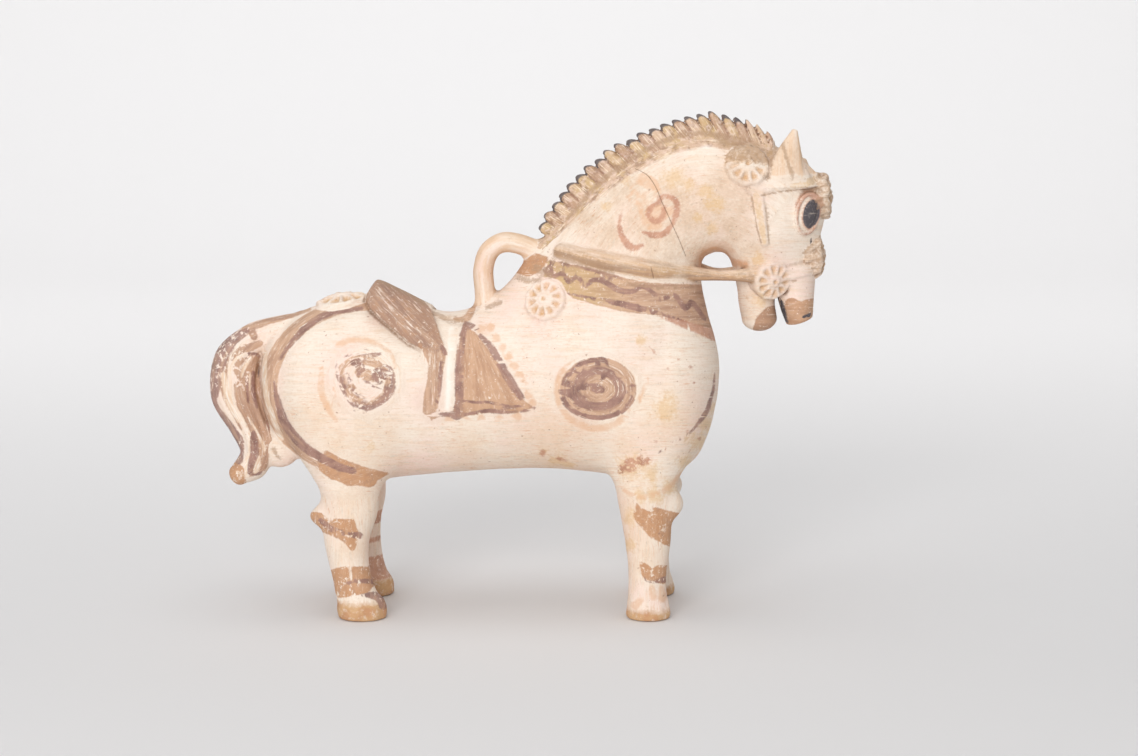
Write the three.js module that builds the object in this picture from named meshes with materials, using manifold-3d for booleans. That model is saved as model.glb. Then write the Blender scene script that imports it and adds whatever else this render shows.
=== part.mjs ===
// Hand-built pottery horse, saddled and bridled, with a loop handle from the back to the nape.
// Everything is one fired piece of clay: the trunk, neck and head, legs, tail and handle were
// joined while wet, and the mane, saddle, straps, reins and moulded rosettes were pressed on.
// Millimetres. The horse faces +X, +Z is up, and the origin is on the floor under its middle.
import * as THREE from "three";
import { mergeVertices } from "three/addons/utils/BufferGeometryUtils.js";
import Module from "manifold-3d";

const wasm = await Module();
wasm.setup();

// Driving dimensions
const LENGTH = 360; // tail to brow ornament
const BARREL_WIDTH = 86; // across the ribs
const LEG_SPREAD = 59; // between the middles of the left and right feet
const HANDLE_THICK = 11.6;
const STRAP_WIDTH = 6.4;
const STRAP_RAISED = 1.6;
const SADDLE_THICK = 3.6;
const MANE_LOCKS = 22;
const PETALS = 9;

const HALF = LENGTH / 2;
const RIB = BARREL_WIDTH / 2;
const ACROSS = new THREE.Vector3(0, 1, 0);
const RAY_START = 200; // outside the horse on either side

// A section of a lofted form in the side view: its upper (or front) edge, its lower (or rear) edge,
// half its width, how much narrower it is at the upper edge, and its middle's place across the horse.
const section = (x1, z1, x2, z2, wide, narrow = 0, y = 0) => ({ x1, z1, x2, z2, wide, narrow, y });

const TRUNK = [
  section(-137.5, 165.9, -137.5, 101.3, RIB * 0.65),
  section(-124.7, 174.5, -124.7, 86.1, RIB * 0.89),
  section(-107.3, 179.8, -107.3, 76.6, RIB * 1.02),
  section(-87.0, 181.6, -87.0, 75.6, RIB * 1.05),
  section(-63.8, 178.7, -63.8, 77.9, RIB * 1.01),
  section(-37.7, 174.1, -37.7, 80.3, RIB * 0.98),
  section(-11.6, 178.1, -11.6, 82.1, RIB * 0.98),
  section(14.5, 185.0, 14.5, 82.6, RIB),
  section(40.6, 189.2, 40.6, 80.4, RIB * 1.05),
  section(63.8, 189.9, 63.8, 77.9, RIB * 1.07),
  section(84.1, 183.9, 84.1, 79.7, RIB * 1.02),
  section(98.6, 174.0, 98.6, 85.6, RIB * 0.86),
];
const TRUNK_CAPS = [12.2, 15.7];

// From the withers over the crest to the nose, narrower along the mane and the face.
const NECK_AND_HEAD = [
  section(-17.0, 178.0, 106.0, 106.0, RIB * 0.96, 0.05),
  section(-2.0, 195.4, 112.5, 144.7, RIB * 0.93, 0.12),
  section(8.6, 211.4, 107.9, 171.6, RIB * 0.84, 0.2),
  section(24.4, 227.3, 104.4, 194.5, RIB * 0.71, 0.3),
  section(41.8, 244.3, 105.6, 204.4, RIB * 0.62, 0.34),
  section(65.0, 262.4, 110.8, 208.0, RIB * 0.56, 0.36),
  section(94.5, 275.3, 114.3, 208.5, RIB * 0.53, 0.3),
  section(124.7, 274.2, 117.2, 208.0, RIB * 0.52, 0.2),
  section(152.0, 267.1, 120.1, 205.6, RIB * 0.52, 0.16),
  section(172.8, 251.3, 121.8, 202.1, RIB * 0.51, 0.2),
  section(175.7, 232.0, 123.0, 198.0, RIB * 0.47, 0.26),
  section(171.7, 213.2, 124.1, 192.7, RIB * 0.41, 0.2),
  section(169.4, 195.7, 125.9, 185.7, RIB * 0.36, 0.1),
];
const NECK_AND_HEAD_CAPS = [6, 3];

const UPPER_LIP = [
  section(170.0, 201.5, 146.5, 197.0, RIB * 0.34),
  section(170.0, 186.9, 150.8, 183.9, RIB * 0.32),
  section(169.4, 176.3, 152.5, 173.9, RIB * 0.32),
  section(169.2, 171.8, 154.3, 166.9, RIB * 0.29),
];
const LOWER_JAW = [
  section(148.0, 195.0, 125.3, 195.0, RIB * 0.33),
  section(147.3, 181.0, 126.4, 180.0, RIB * 0.3),
  section(148.3, 172.2, 128.8, 170.5, RIB * 0.28),
];
const LOWER_JAW_CAP = 7.5;

// Legs are level sections: middle along X, height, half depth, half width, share of the spread.
const HIND_LEG = [
  [-97.0, 134.0, 22.0, 15, 0.66],
  [-95.5, 114.0, 25.0, 17, 0.84],
  [-95.6, 95.7, 23.2, 16.5, 0.92],
  [-97.2, 75.6, 19.0, 15.2, 0.96],
  [-96.9, 61.2, 16.6, 13.8, 0.98],
  [-97.6, 44.0, 14.0, 12.2, 0.99],
  [-96.3, 26.8, 11.8, 11, 1],
  [-93.2, 14.5, 11.4, 10.8, 1],
  [-90.2, 7.0, 13.8, 12.6, 1],
  [-89.9, 0.0, 14.1, 13, 1],
];
const FRONT_LEG = [
  [76.0, 138.0, 20.0, 15, 0.66],
  [75.5, 117.0, 24.0, 17, 0.84],
  [74.5, 98.6, 22.8, 16.5, 0.92],
  [73.7, 75.6, 19.2, 15.2, 0.96],
  [73.1, 61.2, 15.1, 13.4, 0.98],
  [74.2, 42.9, 12.2, 12, 0.99],
  [73.7, 26.8, 10.5, 10.6, 1],
  [73.4, 14.5, 10.9, 10.8, 1],
  [73.7, 6.0, 12.6, 12.2, 1],
  [73.7, 0.0, 12.8, 12.6, 1],
];
const FAR_FORE_STEP = 4.5; // the left fore foot stands a little ahead of the right one
const HOCK = { x: -112, z: 59.5, r: 7 };
const KNEE = { x: 87.2, z: 66, r: 6.9 };

// Rods and rolls: middle line in the side view with half depth and half width.
const TAIL = [
  [-126, 166.5, 7, 7.5],
  [-141, 162.4, 8.6, 8.5],
  [-153.5, 157.2, 10.2, 10],
  [-162.9, 145, 14.6, 11.5],
  [-164.3, 127, 15.6, 12],
  [-156.6, 108, 12.4, 11],
  [-152.8, 94, 9.8, 10],
  [-156.5, 83.5, 9, 9],
  [-164.8, 77.4, 5, 6],
];
const TAIL_CAPS = [2, 3];
const TAIL_WEB = { x: -142, z: 94, r: 12 }; // clay that ties the tail to the rump
const HANDLE = [
  [-19, 166],
  [-20.3, 186.9],
  [-20.9, 198.6],
  [-17.6, 208.8],
  [-9.9, 213.9],
  [0, 213],
  [11.6, 208],
  [24, 201],
].map(([x, z]) => [x, z, HANDLE_THICK / 2, HANDLE_THICK * 0.65]);

// Reins: on the neck's side first, then free across the gap to the cheek rosette.
const REIN_ON_NECK = [
  [24, 211, 4.2],
  [46.4, 206.6, 5.2],
  [75.4, 202, 5],
  [97, 198.6, 4.2],
];
const REIN_FREE = [
  [112, 16.5, 197, 3.1],
  [124, 17.5, 197, 3.3],
  [136, 18, 197.4, 5],
];
const REIN_SUNK = 1.2; // pressed this far into the neck
const FAR_REIN_DROP = 2.4; // the left rein hangs a little lower across the gap

// Saddle: its form over the back, and the outline of the cantle flap and girth strap on the flank.
const SADDLE = [
  section(-92, 183.5, -92, 72.6, RIB * 1.05 + SADDLE_THICK),
  section(-83.5, 192.1, -83.5, 72.9, RIB * 1.05 + SADDLE_THICK),
  section(-69.6, 186.9, -69.6, 74.3, RIB * 1.02 + SADDLE_THICK),
  section(-52.2, 180.3, -52.2, 75.9, RIB * 0.99 + SADDLE_THICK),
  section(-38, 176.3, -38, 77.3, RIB * 0.98 + SADDLE_THICK),
];
const SADDLE_FLAP = [
  [-90.5, 215], [-88.5, 186], [-73, 169], [-56.4, 157.8], [-51, 148], [-54.7, 119],
  [-46.7, 115.3], [-41.6, 152], [-43, 169], [-47, 182], [-46, 215],
];

// Bridle straps in the side view, each from one point to another round the head.
const STRAPS = [
  { from: [136, 247], to: [190, 252.5] }, // browband
  { from: [137.2, 247], to: [143.5, 194] }, // cheek strap
  { from: [150, 193.4], to: [182, 199.5] }, // noseband
];

// Rosettes: place in the side view and radius. Those on the flank come in pairs.
const FLANK_ROSETTES = [
  { x: 15.1, z: 184, radius: 12.6, high: 4 }, // shoulder
  { x: 129.3, z: 259.5, radius: 13.2, high: 3.6 }, // poll
  { x: 143.3, z: 194.5, radius: 11.8, high: 5 }, // cheek
];
const MIDDLE_ROSETTES = [
  { x: -101.5, z: 179.6, radius: 14, high: 5, lean: 82 }, // croup
  { x: 173.6, z: 243.2, radius: 13.6, high: 5.6, lean: 6 }, // brow
  { x: 169.6, z: 207, radius: 11.6, high: 5.4, lean: 2 }, // nose
];
const ROSETTE_DEPTH = 6; // how far a rosette's foot runs into the clay

// Mane: the line where it meets the neck, and the line of its tips.
const MANE_FOOT = [[12, 211], [24, 224], [40, 240], [62, 256], [86, 269], [108, 274], [130, 269], [146, 262]];
const MANE_TIPS = [[9, 222], [22, 243.4], [34.8, 257.4], [48.1, 268], [62.6, 276.6], [80.6, 284.4],
  [103.2, 290], [118.3, 290.4], [133, 287.2], [147, 278.6]];
const MANE_SLANT = 0.035; // each tip lies this share of the mane behind its foot
const MANE_HALF_WIDTH = 5;
const MANE_ROOT = 0.7; // how far a lock runs into the neck, as a share of its height
const LOCK_SHAPE = [[0.62, 0.7], [0.93, 0.98], [1, 1.06], [0.93, 0.98]]; // height and width, notch to notch

const EAR = { x: 156.8, y: 12.5, foot: 254.6, tip: [158.2, 282.2], deep: 9.6, wide: 5.6, out: 3.5 };
const BROKEN_EAR_LEFT = 6.5; // what stands of the left ear above its foot
const EYE = { x: 167.8, z: 233.5, tall: 11, long: 8.5, bulge: 4.2, turn: 34 };

// A closed form through sections: rings of points with rounded or flat ends.
function loft(sections, { sides = 20, steps = 16, caps = [0, 0], capRings = 3, swell = 0 } = {}) {
  const upper = new THREE.CatmullRomCurve3(sections.map((s) => new THREE.Vector3(s.x1, s.y, s.z1)), false, "catmullrom");
  const lower = new THREE.CatmullRomCurve3(sections.map((s) => new THREE.Vector3(s.x2, s.y, s.z2)), false, "catmullrom");
  const size = new THREE.CatmullRomCurve3(sections.map((s) => new THREE.Vector3(s.wide, s.narrow, 0)), false, "catmullrom");
  const frameAt = (t) => {
    const top = upper.getPoint(t);
    const bottom = lower.getPoint(t);
    const up = top.clone().sub(bottom);
    const deep = up.length() / 2 + swell;
    up.normalize();
    const { x: wide, y: narrow } = size.getPoint(t);
    return {
      middle: top.add(bottom).multiplyScalar(0.5),
      up,
      along: new THREE.Vector3(up.z, 0, -up.x),
      deep,
      wide: wide + swell,
      narrow,
    };
  };
  const rings = [];
  const addCap = (frame, length, order) => {
    for (const k of order) {
      const turn = (k / capRings) * (Math.PI / 2);
      rings.push({ ...frame, shift: length * Math.sin(turn), scale: Math.cos(turn) });
    }
  };
  const capOrder = Array.from({ length: capRings - 1 }, (_, k) => k + 1);
  const first = frameAt(0);
  const last = frameAt(1);
  const startCap = caps[0] + (caps[0] ? swell : 0);
  const endCap = caps[1] + (caps[1] ? swell : 0);
  if (startCap) addCap(first, -startCap, [...capOrder].reverse());
  for (let i = 0; i <= steps; i++) rings.push({ ...frameAt(i / steps), shift: 0, scale: 1 });
  if (endCap) addCap(last, endCap, capOrder);

  const points = [];
  const put = (v) => points.push(v.x, v.y, v.z);
  for (const r of rings) {
    for (let j = 0; j < sides; j++) {
      const a = (j / sides) * Math.PI * 2;
      const u = Math.cos(a) * r.deep * r.scale;
      const v = Math.sin(a) * r.wide * r.scale * (1 - r.narrow * Math.cos(a));
      put(r.middle.clone().addScaledVector(r.up, u).addScaledVector(ACROSS, v).addScaledVector(r.along, r.shift));
    }
  }
  const startPole = rings.length * sides;
  put(first.middle.clone().addScaledVector(first.along, -startCap));
  put(last.middle.clone().addScaledVector(last.along, endCap));
  const faces = [];
  for (let i = 0; i + 1 < rings.length; i++) {
    for (let j = 0; j < sides; j++) {
      const k = (j + 1) % sides;
      const [a, b, c, d] = [i * sides + j, (i + 1) * sides + j, (i + 1) * sides + k, i * sides + k];
      faces.push(a, b, c, a, c, d);
    }
  }
  const top = (rings.length - 1) * sides;
  for (let j = 0; j < sides; j++) {
    const k = (j + 1) % sides;
    faces.push(startPole, j, k, startPole + 1, top + k, top + j);
  }
  const made = new THREE.BufferGeometry();
  made.setAttribute("position", new THREE.Float32BufferAttribute(points, 3));
  made.setIndex(faces);
  return made;
}

// Sections across a rod's middle line, from rows of x, z, half depth, half width.
function rodSections(rows, ys = rows.map(() => 0)) {
  const line = new THREE.CatmullRomCurve3(rows.map(([x, z]) => new THREE.Vector3(x, 0, z)), false, "catmullrom");
  return rows.map(([x, z, deep, wide], i) => {
    const t = line.getTangent(i / (rows.length - 1));
    return section(x - t.z * deep, z + t.x * deep, x + t.z * deep, z - t.x * deep, wide, 0, ys[i]);
  });
}

// Level sections down a leg on one side (-1 right, +1 left), leaning out to the foot.
function legSections(rows, side, stepForward = 0) {
  const top = rows[0][1];
  return rows.map(([x, z, deep, wide, share]) => {
    const middle = x + stepForward * (1 - z / top);
    return section(middle + deep, z, middle - deep, z, wide, 0, side * share * (LEG_SPREAD / 2));
  });
}

// A closed geometry as a solid for joining and cutting.
function solid(geometry) {
  const bare = geometry.clone();
  bare.deleteAttribute("normal");
  bare.deleteAttribute("uv");
  const merged = mergeVertices(bare, 1e-4);
  return new wasm.Manifold(new wasm.Mesh({
    numProp: 3,
    vertProperties: merged.attributes.position.array,
    triVerts: new Uint32Array(merged.index.array),
  }));
}

function ball({ x, z, r }, y = 0, squash = [1, 1, 1]) {
  const made = new THREE.SphereGeometry(r, 8, 6);
  made.scale(...squash);
  return made.translate(x, y, z);
}

// A bar through the whole head along one strap's line, to be trimmed by the swollen head.
function strapBar({ from, to }) {
  const run = Math.hypot(to[0] - from[0], to[1] - from[1]);
  const made = new THREE.BoxGeometry(run, BARREL_WIDTH, STRAP_WIDTH);
  made.rotateY(-Math.atan2(to[1] - from[1], to[0] - from[0]));
  return made.translate((from[0] + to[0]) / 2, 0, (from[1] + to[1]) / 2);
}

// A moulded disc with petals round a button, its face along +Z before it is placed.
function rosette({ radius, high }) {
  const spokes = PETALS * 2;
  const rows = [[0.3, 0.62, 0.56], [0.72, 1, 0.66], [1, 0.4, 0.2]];
  const rim = [0.96, 1]; // valleys between petals are cut back a little at the rim
  const points = [0, 0, high * 0.9, 0, 0, -ROSETTE_DEPTH];
  for (const [out, crown, valley] of rows) {
    for (let j = 0; j < spokes; j++) {
      const onPetal = j % 2;
      const a = (j / spokes) * Math.PI * 2;
      const r = radius * out * (out === 1 ? rim[onPetal] : 1);
      points.push(Math.cos(a) * r, Math.sin(a) * r, high * (onPetal ? crown : valley));
    }
  }
  for (let j = 0; j < spokes; j++) {
    const a = (j / spokes) * Math.PI * 2;
    const r = radius * rim[j % 2] * 0.96;
    points.push(Math.cos(a) * r, Math.sin(a) * r, -ROSETTE_DEPTH);
  }
  const at = (row, j) => 2 + row * spokes + (j % spokes);
  const faces = [];
  const lastRow = rows.length;
  for (let j = 0; j < spokes; j++) {
    faces.push(0, at(0, j), at(0, j + 1), 1, at(lastRow, j + 1), at(lastRow, j));
    for (let row = 0; row < lastRow; row++) {
      faces.push(at(row, j), at(row + 1, j), at(row + 1, j + 1), at(row, j), at(row + 1, j + 1), at(row, j + 1));
    }
  }
  const made = new THREE.BufferGeometry();
  made.setAttribute("position", new THREE.Float32BufferAttribute(points, 3));
  made.setIndex(faces);
  return made;
}

// Puts a geometry whose face looks along +Z at a point, facing a direction.
function facing(geometry, point, direction) {
  const turn = new THREE.Quaternion().setFromUnitVectors(new THREE.Vector3(0, 0, 1), direction.clone().normalize());
  return geometry.applyQuaternion(turn).translate(point.x, point.y, point.z);
}

// Where a straight line from the right or left side meets the body, with the surface's direction there.
function onSide(x, z, side) {
  const ray = new THREE.Raycaster(new THREE.Vector3(x, side * RAY_START, z), new THREE.Vector3(0, -side, 0));
  const [hit] = ray.intersectObjects([forms.trunk, forms.neckAndHead].map((form) => new THREE.Mesh(form)));
  return { point: hit.point, out: hit.face.normal };
}

// The mane: one upright crest whose edge and sides rise and fall with its slanted locks.
function maneForm() {
  const curve = (rows) => new THREE.CatmullRomCurve3(rows.map(([x, z]) => new THREE.Vector3(x, 0, z)));
  const foot = curve(MANE_FOOT);
  const tips = curve(MANE_TIPS);
  const stops = MANE_LOCKS * LOCK_SHAPE.length;
  const sections = [];
  for (let i = 0; i <= stops; i++) {
    const [height, width] = LOCK_SHAPE[i % LOCK_SHAPE.length];
    const low = foot.getPointAt(Math.min(1, i / stops + MANE_SLANT));
    const rise = tips.getPointAt(i / stops).sub(low);
    const top = low.clone().addScaledVector(rise, height);
    low.addScaledVector(rise, -MANE_ROOT);
    sections.push(section(top.x, top.z, low.x, low.z, MANE_HALF_WIDTH * width));
  }
  return loft(sections, { sides: 6, steps: stops });
}

// An ear is a flattened cone with its hollow to the front; the left one is broken off near its foot.
function earSolid(side, broken) {
  const rows = [0, 0.3, 0.65, 0.93].map((share, k) => {
    const x = THREE.MathUtils.lerp(EAR.x, EAR.tip[0], share);
    const z = THREE.MathUtils.lerp(EAR.foot - 6, EAR.tip[1], share);
    return [x, z, EAR.deep * [1.04, 0.82, 0.45, 0.16][k], EAR.wide * [1.1, 1, 0.75, 0.4][k]];
  });
  const ys = rows.map((_, k) => side * (EAR.y + EAR.out * (k / 3)));
  const whole = solid(loft(rodSections(rows, ys), { sides: 10, steps: 5, caps: [0, 1.2], capRings: 2 }));
  const hollow = ball({ x: EAR.x + EAR.deep * 0.95, z: EAR.foot + 13, r: 6 }, side * (EAR.y + EAR.out), [0.75, 0.62, 2]);
  hollow.translate(0, 0, -(EAR.foot + 13));
  const ear = whole.subtract(solid(hollow));
  if (!broken) return ear;
  const stub = new THREE.BoxGeometry(40, 40, 30).rotateX(side * 0.35).rotateY(0.25);
  return ear.intersect(solid(stub.translate(EAR.x, side * EAR.y, EAR.foot + BROKEN_EAR_LEFT - 15)));
}

function eyeSolid(side) {
  const made = new THREE.SphereGeometry(1, 12, 6).scale(EYE.long, EYE.bulge, EYE.tall);
  made.rotateZ(-side * THREE.MathUtils.degToRad(EYE.turn));
  const { point } = onSide(EYE.x, EYE.z, side);
  return solid(made.translate(point.x, point.y, point.z));
}

const forms = {
  trunk: loft(TRUNK, { sides: 20, steps: 15, caps: TRUNK_CAPS, capRings: 3 }),
  neckAndHead: loft(NECK_AND_HEAD, { sides: 18, steps: 18, caps: NECK_AND_HEAD_CAPS, capRings: 2 }),
};

function reinSolid(side) {
  const rows = REIN_ON_NECK.map(([x, z, deep]) => [x, z, deep, deep]);
  const ys = REIN_ON_NECK.map(([x, z]) => onSide(x, z, side).point.y - side * REIN_SUNK);
  for (const [x, y, z, deep] of REIN_FREE) {
    rows.push([x, side > 0 ? z - FAR_REIN_DROP : z, deep, deep]);
    ys.push(side * y);
  }
  return solid(loft(rodSections(rows, ys), { sides: 8, steps: 11, caps: [4, 0], capRings: 2 }));
}

function saddleSolid() {
  const outline = new THREE.Shape(SADDLE_FLAP.map(([x, z]) => new THREE.Vector2(x, z)));
  const through = new THREE.ExtrudeGeometry(outline, { depth: BARREL_WIDTH * 1.4, bevelEnabled: false });
  through.rotateX(Math.PI / 2).translate(0, BARREL_WIDTH * 0.7, 0);
  return solid(loft(SADDLE, { sides: 20, steps: 6 })).intersect(solid(through));
}

function rosetteSolids() {
  const made = [];
  for (const r of FLANK_ROSETTES) {
    for (const side of [-1, 1]) {
      const { point, out } = onSide(r.x, r.z, side);
      made.push(solid(facing(rosette(r), point, out)));
    }
  }
  for (const r of MIDDLE_ROSETTES) {
    const lean = THREE.MathUtils.degToRad(r.lean);
    const out = new THREE.Vector3(Math.cos(lean), 0, Math.sin(lean));
    if (r.x < 0) out.x = -out.x;
    made.push(solid(facing(rosette(r), new THREE.Vector3(r.x, 0, r.z), out)));
  }
  return made;
}

function strapSolids() {
  const around = solid(loft(NECK_AND_HEAD, {
    sides: 18, steps: 18, caps: NECK_AND_HEAD_CAPS, capRings: 2, swell: STRAP_RAISED,
  }));
  return STRAPS.map((strap) => around.intersect(solid(strapBar(strap))));
}

function buildHorse() {
  const pieces = [solid(forms.trunk), solid(forms.neckAndHead)];
  pieces.push(solid(loft(UPPER_LIP, { sides: 14, steps: 6, caps: [0, 1.6], capRings: 2 })));
  pieces.push(solid(loft(LOWER_JAW, { sides: 14, steps: 5, caps: [0, LOWER_JAW_CAP], capRings: 3 })));
  for (const side of [-1, 1]) {
    const step = side > 0 ? FAR_FORE_STEP : 0;
    pieces.push(solid(loft(legSections(HIND_LEG, side), { sides: 12, steps: 9 })));
    pieces.push(solid(loft(legSections(FRONT_LEG, side, step), { sides: 12, steps: 9 })));
    pieces.push(solid(ball(HOCK, side * LEG_SPREAD * 0.47)));
    pieces.push(solid(ball({ ...KNEE, x: KNEE.x + step / 3 }, side * LEG_SPREAD * 0.47)));
    pieces.push(reinSolid(side), eyeSolid(side), earSolid(side, side > 0));
  }
  pieces.push(solid(loft(rodSections(TAIL), { sides: 12, steps: 11, caps: TAIL_CAPS, capRings: 2 })));
  pieces.push(solid(ball(TAIL_WEB, 0, [1, 0.7, 1])));
  pieces.push(solid(loft(rodSections(HANDLE), { sides: 10, steps: 13 })));
  pieces.push(saddleSolid(), ...rosetteSolids(), ...strapSolids(), solid(maneForm()));
  return pieces.reduce((whole, piece) => whole.add(piece));
}

function toGeometry(made) {
  const { numProp, vertProperties, triVerts } = made.getMesh();
  const points = new Float32Array((vertProperties.length / numProp) * 3);
  for (let i = 0; i < points.length / 3; i++) {
    points.set(vertProperties.subarray(i * numProp, i * numProp + 3), i * 3);
  }
  const geometry = new THREE.BufferGeometry();
  geometry.setAttribute("position", new THREE.BufferAttribute(points, 3));
  geometry.setIndex(new THREE.BufferAttribute(triVerts, 1));
  geometry.computeVertexNormals();
  return geometry;
}

const paintedClay = new THREE.MeshStandardMaterial({ color: 0xefd9c4, roughness: 0.85, metalness: 0 });
const horse = new THREE.Mesh(toGeometry(buildHorse()), paintedClay);
horse.name = "horse_figure";

const figure = new THREE.Group();
figure.add(horse);
export default figure;
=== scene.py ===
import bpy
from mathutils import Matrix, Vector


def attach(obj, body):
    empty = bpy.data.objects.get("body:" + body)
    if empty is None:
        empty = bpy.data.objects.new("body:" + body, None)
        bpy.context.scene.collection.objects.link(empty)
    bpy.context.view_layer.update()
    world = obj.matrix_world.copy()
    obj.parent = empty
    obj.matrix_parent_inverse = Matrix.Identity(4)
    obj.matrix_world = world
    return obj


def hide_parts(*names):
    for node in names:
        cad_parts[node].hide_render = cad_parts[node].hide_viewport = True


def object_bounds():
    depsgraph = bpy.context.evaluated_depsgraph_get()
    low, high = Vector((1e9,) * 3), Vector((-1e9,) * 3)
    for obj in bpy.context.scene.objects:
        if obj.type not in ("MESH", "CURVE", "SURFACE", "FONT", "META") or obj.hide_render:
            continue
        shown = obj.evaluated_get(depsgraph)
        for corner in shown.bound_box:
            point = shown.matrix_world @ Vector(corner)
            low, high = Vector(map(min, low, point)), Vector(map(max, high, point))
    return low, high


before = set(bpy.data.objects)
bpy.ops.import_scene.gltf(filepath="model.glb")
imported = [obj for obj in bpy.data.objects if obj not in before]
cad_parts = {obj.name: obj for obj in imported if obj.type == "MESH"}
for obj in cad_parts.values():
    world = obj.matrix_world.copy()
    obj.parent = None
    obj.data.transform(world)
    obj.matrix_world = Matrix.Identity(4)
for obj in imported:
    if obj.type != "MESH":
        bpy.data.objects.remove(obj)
cadBox = [list(corner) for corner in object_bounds()]

import math

import bpy
import numpy as np
from mathutils import Vector

# The horse is shaped in millimetres of its own frame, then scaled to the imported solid's length.
figure = {
    "drawnLength": 360.35,  # tail to brow ornament
    "gridStep": 1.0,
    "roughCells": 4,  # fine steps in one rough step
    "room": 6.3,  # around the solid's box
    "triangles": 188000,
    "clayWave": 0.35,  # unevenness left by the hands
}
mm = (cadBox[1][0] - cadBox[0][0]) / figure["drawnLength"]
far = 60.0

photoView = {
    "elevation": math.radians(9),
    "distance": 1550.0,
    "target": (28.4, 0.0, 135.0),
    "frameWidth": 660.0,  # what the picture takes in at the target
    "sensor": 36,
}


def spline(rows, count):
    rows = np.asarray(rows, float)
    padded = np.vstack([2 * rows[0] - rows[1], rows, 2 * rows[-1] - rows[-2]])
    at = np.linspace(0, len(rows) - 1, count)
    i = np.minimum(at.astype(int), len(rows) - 2)
    t = (at - i)[:, None]
    p0, p1, p2, p3 = (padded[i + k] for k in range(4))
    bend = (2 * p0 - 5 * p1 + 4 * p2 - p3) * t ** 2 + (3 * p1 - p0 - 3 * p2 + p3) * t ** 3
    return 0.5 * (2 * p1 + (p2 - p0) * t + bend)


# Sections: upper edge x z, lower edge x z, half width, how much narrower the upper edge is, middle y.
def sectionForm(rows, count):
    x1, z1, x2, z2, wide, narrow, y = spline([list(r) + [0] * (7 - len(r)) for r in rows], count).T
    deep = np.hypot(x1 - x2, z1 - z2) / 2
    return {
        "x": (x1 + x2) / 2, "y": y, "z": (z1 + z2) / 2, "deep": deep, "wide": wide, "narrow": narrow,
        "upX": (x1 - x2) / deep / 2, "upZ": (z1 - z2) / deep / 2,
    }


# A rod from rows of x, z, half depth, half width, with its middle's y.
def rodForm(rows, count, ys=None):
    rows = np.asarray(rows, float)
    line = spline(rows[:, :2], 4 * (len(rows) - 1) + 1)
    t = np.gradient(line, axis=0)[::4]
    t /= np.linalg.norm(t, axis=1, keepdims=True)
    x, z, deep, wide = rows.T
    ys = np.zeros(len(rows)) if ys is None else np.asarray(ys, float)
    edges = [x - t[:, 1] * deep, z + t[:, 0] * deep, x + t[:, 1] * deep, z - t[:, 0] * deep]
    return sectionForm(np.stack(edges + [wide, np.zeros(len(rows)), ys], 1), count)


def oval(u, v, a, b, w=0.0, c=1.0):
    k0 = np.sqrt((u / a) ** 2 + (v / b) ** 2 + (w / c) ** 2)
    k1 = np.sqrt((u / a ** 2) ** 2 + (v / b ** 2) ** 2 + (w / c ** 2) ** 2)
    return np.where(k0 < 1e-3, -np.minimum(a, b), k0 * (k0 - 1) / np.maximum(k1, 1e-9))


def melt(a, b, k):
    h = np.maximum(k - np.abs(a - b), 0) / k
    return np.minimum(a, b) - h * h * k / 4


def trim(a, b, k):
    return -melt(-a, -b, k)


# Distance to a lofted form, with the place along it and across its depth.
def loftField(points, form, caps=(0.0, 0.0), reach=16.0):
    count = len(form["x"])
    dist, along, across = np.full(len(points), far), np.zeros(len(points)), np.zeros(len(points))
    room = form["deep"].max() + max(caps) + reach
    side = form["wide"].max() + reach
    lo = np.array([form["x"].min() - room, form["y"].min() - side, form["z"].min() - room])
    hi = np.array([form["x"].max() + room, form["y"].max() + side, form["z"].max() + room])
    near = np.nonzero(np.all((points > lo) & (points < hi), axis=1))[0]
    x, y, z = points[near].T
    for i in range(count - 1):
        first, final = i == 0, i == count - 2
        d0 = (x - form["x"][i]) * form["upZ"][i] - (z - form["z"][i]) * form["upX"][i]
        d1 = (x - form["x"][i + 1]) * form["upZ"][i + 1] - (z - form["z"][i + 1]) * form["upX"][i + 1]
        pick = (d0 - d1 > 1e-6) & (d0 >= (-caps[0] - reach if first else 0))
        pick &= d1 <= (caps[1] + reach if final else 0)
        got = np.nonzero(pick)[0]
        if not len(got):
            continue
        a, b = d0[got], d1[got]
        h = np.clip(a / (a - b), 0, 1)
        here = {name: values[i] + (values[i + 1] - values[i]) * h for name, values in form.items()}
        u = (x[got] - here["x"]) * here["upX"] + (z[got] - here["z"]) * here["upZ"]
        u = u / np.hypot(here["upX"], here["upZ"])
        v = y[got] - here["y"]
        width = here["wide"] * (1 - here["narrow"] * np.clip(u / here["deep"], -1, 1))
        f = oval(u, v, here["deep"], width)
        for isEnd, w, cap in ((first, -a, caps[0]), (final, b, caps[1])):
            if not isEnd:
                continue
            if cap:
                f = np.where(w > 0, oval(u, v, here["deep"], width, w, cap), f)
            else:
                f = np.maximum(f, w)
        better = f < dist[near[got]]
        spot = near[got][better]
        dist[spot] = f[better]
        along[spot] = ((i + h) / (count - 1))[better]
        across[spot] = (u / here["deep"])[better]
    return dist, along, across


def ballField(points, centre, radii):
    u, v, w = ((points - centre) / radii).T
    k0 = np.sqrt(u * u + v * v + w * w)
    k1 = np.sqrt((u / radii[0]) ** 2 + (v / radii[1]) ** 2 + (w / radii[2]) ** 2)
    return np.where(k0 < 1e-3, -min(radii), k0 * (k0 - 1) / np.maximum(k1, 1e-9))


# Slow waves of a hand-smoothed wall.
def unevenness(points, length, seed):
    rng = np.random.default_rng(seed)
    total = np.zeros(len(points))
    for k in range(5):
        way = rng.normal(size=3)
        way *= 2 * math.pi / (length * (0.7 + 0.6 * rng.random())) / np.linalg.norm(way)
        total += np.sin(points @ way + rng.random() * 6.28)
    return total / 5


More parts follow.
